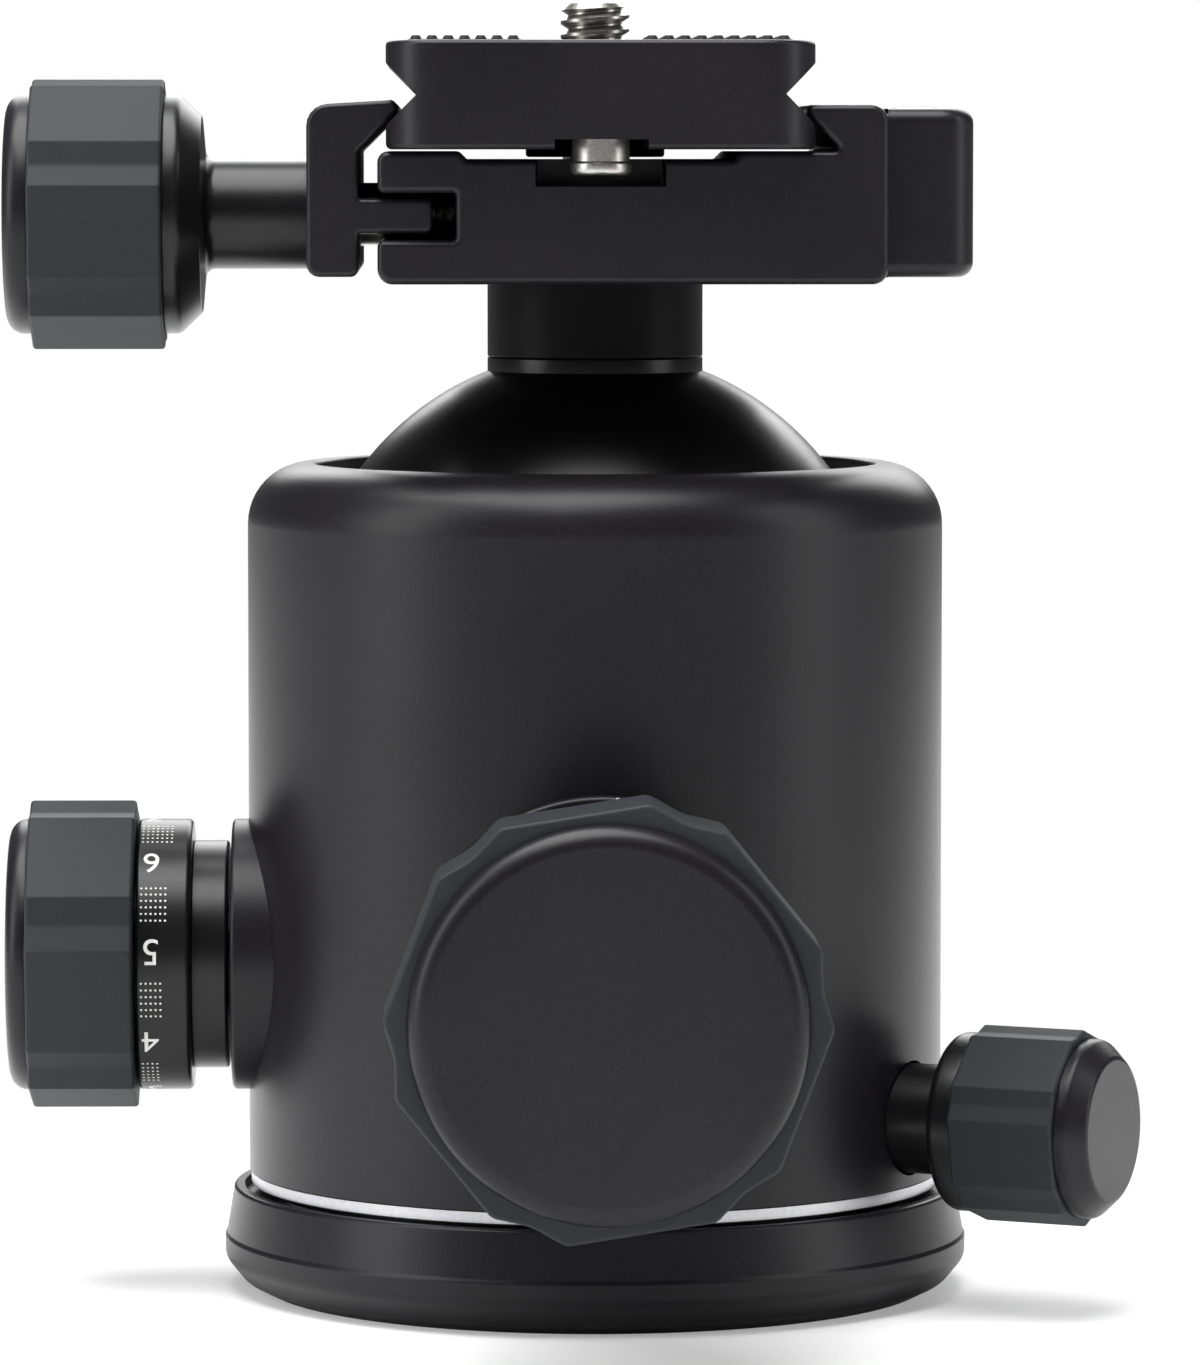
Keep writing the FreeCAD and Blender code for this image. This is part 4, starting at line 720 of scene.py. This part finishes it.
PAD_END = 24
PAD_CORNER = 0.8
STRIP_FOOT = 114.35
STRIP_TOP = 114.82
NUB_ROWS = 33
NUB_HEIGHT = 0.36
NUB_MIDDLE = 114.98
pad_mesh = bmesh.new()
for low_x, high_x, columns in ((-17.1, -7.0, 7), (3.9, 17.1, 9)):
    strip_outline = rounded([
        (low_x, -PAD_END, PAD_CORNER), (high_x, -PAD_END, PAD_CORNER),
        (high_x, PAD_END, PAD_CORNER), (low_x, PAD_END, PAD_CORNER)])
    strip = bpy.data.meshes.new("strip")
    strip_mesh = extruded(strip_outline, STRIP_FOOT, STRIP_TOP)
    strip_mesh.to_mesh(strip)
    strip_mesh.free()
    pad_mesh.from_mesh(strip)
    pitch = (high_x - low_x) / columns
    for column in range(columns):
        for row in range(NUB_ROWS):
            along = 2 * PAD_END * ((row + 0.5) / NUB_ROWS - 0.5)
            spot = Matrix.Translation((low_x + pitch * (column + 0.5), along, NUB_MIDDLE))
            bmesh.ops.create_cone(pad_mesh, cap_ends=True, segments=8, radius1=0.56,
                                  radius2=0.34, depth=NUB_HEIGHT, matrix=spot)
add_piece("nubbed_pads", pad_mesh, "plate", pad_rubber, ["plate_pads"], sharp=50)
finish_nodes(pad_rubber, "plate_pads")

# Camera screw and stop pins. Stainless steel: the screw has a rolled thread of 1.27 mm pitch and
# a slotted head, and the two waisted pins under the plate's ends keep it from sliding out.

PITCH = 1.27
THREAD_STEPS = 48
THREAD_TURNS = 5
THREAD_FOOT = 112.3
CORE_RADIUS = 2.46
CREST_RADIUS = 3.15
SCREW_TIP = 118.4
HEAD_RADIUS = 6.4
screw_profile = rounded([
    (0, 104.35), (HEAD_RADIUS, 104.35, 0.3), (HEAD_RADIUS, 106.7, 0.3), (CREST_RADIUS, 106.7),
    (CREST_RADIUS, THREAD_FOOT), (CORE_RADIUS, THREAD_FOOT), (CORE_RADIUS, 118.0),
    (2.1, SCREW_TIP), (0, SCREW_TIP)], closed=False)
slot_outline = [(-7, -0.6), (7, -0.6), (7, 0.6), (-7, 0.6)]
screw_mesh = carved(turned(screw_profile, 96), extruded(slot_outline, 104.0, 105.4))
ridge = bmesh.new()
section = [ridge.verts.new((out, 0, 112.2 + up)) for out, up in (
    (2.4, -0.6), (CREST_RADIUS, -0.13), (CREST_RADIUS, 0.13), (2.4, 0.6))]
bmesh.ops.spin(ridge, geom=section + [ridge.faces.new(section)], cent=(0, 0, 0),
               axis=(0, 0, 1), dvec=(0, 0, PITCH / THREAD_STEPS),
               angle=FULL_TURN * THREAD_TURNS, steps=THREAD_STEPS * THREAD_TURNS,
               use_merge=False, use_duplicate=False)
thread_room = turned([
    (0, THREAD_FOOT), (3.3, THREAD_FOOT), (3.3, 117.6), (2.5, SCREW_TIP), (0, SCREW_TIP)], 64)
ridge = carved(ridge, thread_room, "INTERSECT")
thread = bpy.data.meshes.new("thread")
ridge.to_mesh(thread)
ridge.free()
screw_mesh.from_mesh(thread)
add_piece("camera_screw_thread", screw_mesh, "camera_screw", stainless_steel,
          ["camera_screw"], sharp=28)

PIN_SIDE = 26.2
PIN_RADIUS = 2.7
PIN_WAIST = 2.55
pins_mesh = bmesh.new()
pin_profile = rounded([
    (0, 102.8), (PIN_RADIUS, 102.8, 0.5), (PIN_RADIUS, 104.0, 0.25), (PIN_WAIST, 104.0),
    (PIN_WAIST, GROOVE_TOP), (0, GROOVE_TOP)], closed=False)
for side in (-PIN_SIDE, PIN_SIDE):
    pin = bpy.data.meshes.new("pin")
    pin_mesh = turned(pin_profile, 48, Matrix.Translation((0, side, 0)))
    pin_mesh.to_mesh(pin)
    pin_mesh.free()
    pins_mesh.from_mesh(pin)
add_piece("waisted_pins", pins_mesh, "plate", stainless_steel, ["stop_pins"])
finish_nodes(stainless_steel, "stop_pins", "camera_screw")
finish_nodes(black_steel, "screw_clip")

# Stage. The head stands on white paper with soft lamps above, behind and to the sides. The
# paper shows its shadow near the head and fades to the white surround further out.

floor_mesh = bmesh.new()
bmesh.ops.create_grid(floor_mesh, x_segments=1, y_segments=1, size=2.5)
floor_data = bpy.data.meshes.new("pale_floor")
floor_mesh.to_mesh(floor_data)
floor_mesh.free()
floor = bpy.data.objects.new("pale_floor", floor_data)
bpy.context.scene.collection.objects.link(floor)

SHADOW_RADIUS = 0.03
WHITE_RADIUS = 0.13
# Matt paper, which lies in the head's shadow close by and is lost in white further out.
paper = bpy.data.materials.new("matt_white_paper")
paper.use_nodes = True
tree = paper.node_tree
tree.nodes.clear()
rays = add_node(tree, "ShaderNodeLightPath")
seen = add_node(tree, "ShaderNodeMath", {"operation": "MAXIMUM"}, {
    0: rays.outputs["Is Camera Ray"], 1: rays.outputs["Is Transmission Ray"]})
place = add_node(tree, "ShaderNodeTexCoord").outputs["Object"]
away = add_node(tree, "ShaderNodeVectorMath", {"operation": "LENGTH"}, {0: place})
fade = add_node(tree, "ShaderNodeMapRange", {"interpolation_type": "SMOOTHSTEP"}, {
    "Value": away.outputs["Value"], "From Min": SHADOW_RADIUS, "From Max": WHITE_RADIUS,
    "To Min": 0.3, "To Max": 1.0})
share = add_node(tree, "ShaderNodeMath", {"operation": "MULTIPLY"}, {
    0: seen.outputs["Value"], 1: fade.outputs["Result"]})
matt = add_node(tree, "ShaderNodeBsdfDiffuse", None, {"Color": linear_colour("f4f4f4")})
glow = add_node(tree, "ShaderNodeEmission", None, {
    "Color": linear_colour("ffffff"), "Strength": 1.0})
mixed = add_node(tree, "ShaderNodeMixShader", None, {
    0: share.outputs["Value"], 1: matt.outputs["BSDF"], 2: glow.outputs["Emission"]})
add_node(tree, "ShaderNodeOutputMaterial", None, {"Surface": mixed.outputs["Shader"]})
floor_data.materials.append(paper)

world = bpy.data.worlds.new("white_surround")
bpy.context.scene.world = world
world.use_nodes = True
tree = world.node_tree
tree.nodes.clear()
rays = add_node(tree, "ShaderNodeLightPath")
seen = add_node(tree, "ShaderNodeMath", {"operation": "MAXIMUM"}, {
    0: rays.outputs["Is Camera Ray"], 1: rays.outputs["Is Transmission Ray"]})
soft, white = [
    add_node(tree, "ShaderNodeBackground", None, {
        "Color": linear_colour("ffffff"), "Strength": strength}).outputs["Background"]
    for strength in (0.1, 1.0)]
both = add_node(tree, "ShaderNodeMixShader", None, {
    0: seen.outputs["Value"], 1: soft, 2: white})
add_node(tree, "ShaderNodeOutputWorld", None, {"Surface": both.outputs["Shader"]})

LAMP_TARGET = Vector((0, 0, 0.06))
for name, spot, width, height, power in (
    ("left_lamp", (-0.85, -0.30, 0.45), 0.4, 0.9, 6.0),
    ("right_lamp", (0.85, -0.25, 0.40), 0.35, 0.9, 3.5),
    ("top_lamp", (-0.15, -0.1, 0.95), 0.9, 0.7, 20.0),
    ("back_lamp", (0.1, 0.8, 0.5), 0.8, 0.5, 6.0),
):
    light = bpy.data.lights.new(name, "AREA")
    light.shape = "RECTANGLE"
    light.size = width
    light.size_y = height
    light.energy = power
    lamp = bpy.data.objects.new(name, light)
    bpy.context.scene.collection.objects.link(lamp)
    lamp.location = spot
    lamp.rotation_euler = (LAMP_TARGET - Vector(spot)).to_track_quat("-Z", "Y").to_euler()

# The lens, place and turn are those of the photograph's camera.
CAMERA_DIP = 0.07103
CAMERA_TURN = -0.020924
view = bpy.data.cameras.new("camera")
view.sensor_fit = "HORIZONTAL"
view.sensor_width = 36.0
view.lens = 224.9
view.clip_start = 0.01
view.clip_end = 20.0
camera = bpy.data.objects.new("camera", view)
bpy.context.scene.collection.objects.link(camera)
camera.location = (-0.014, -0.691, 0.10508)
camera.rotation_euler = (math.radians(90) - CAMERA_DIP, 0, CAMERA_TURN)
bpy.context.scene.camera = camera
bpy.context.scene.view_settings.view_transform = "Standard"
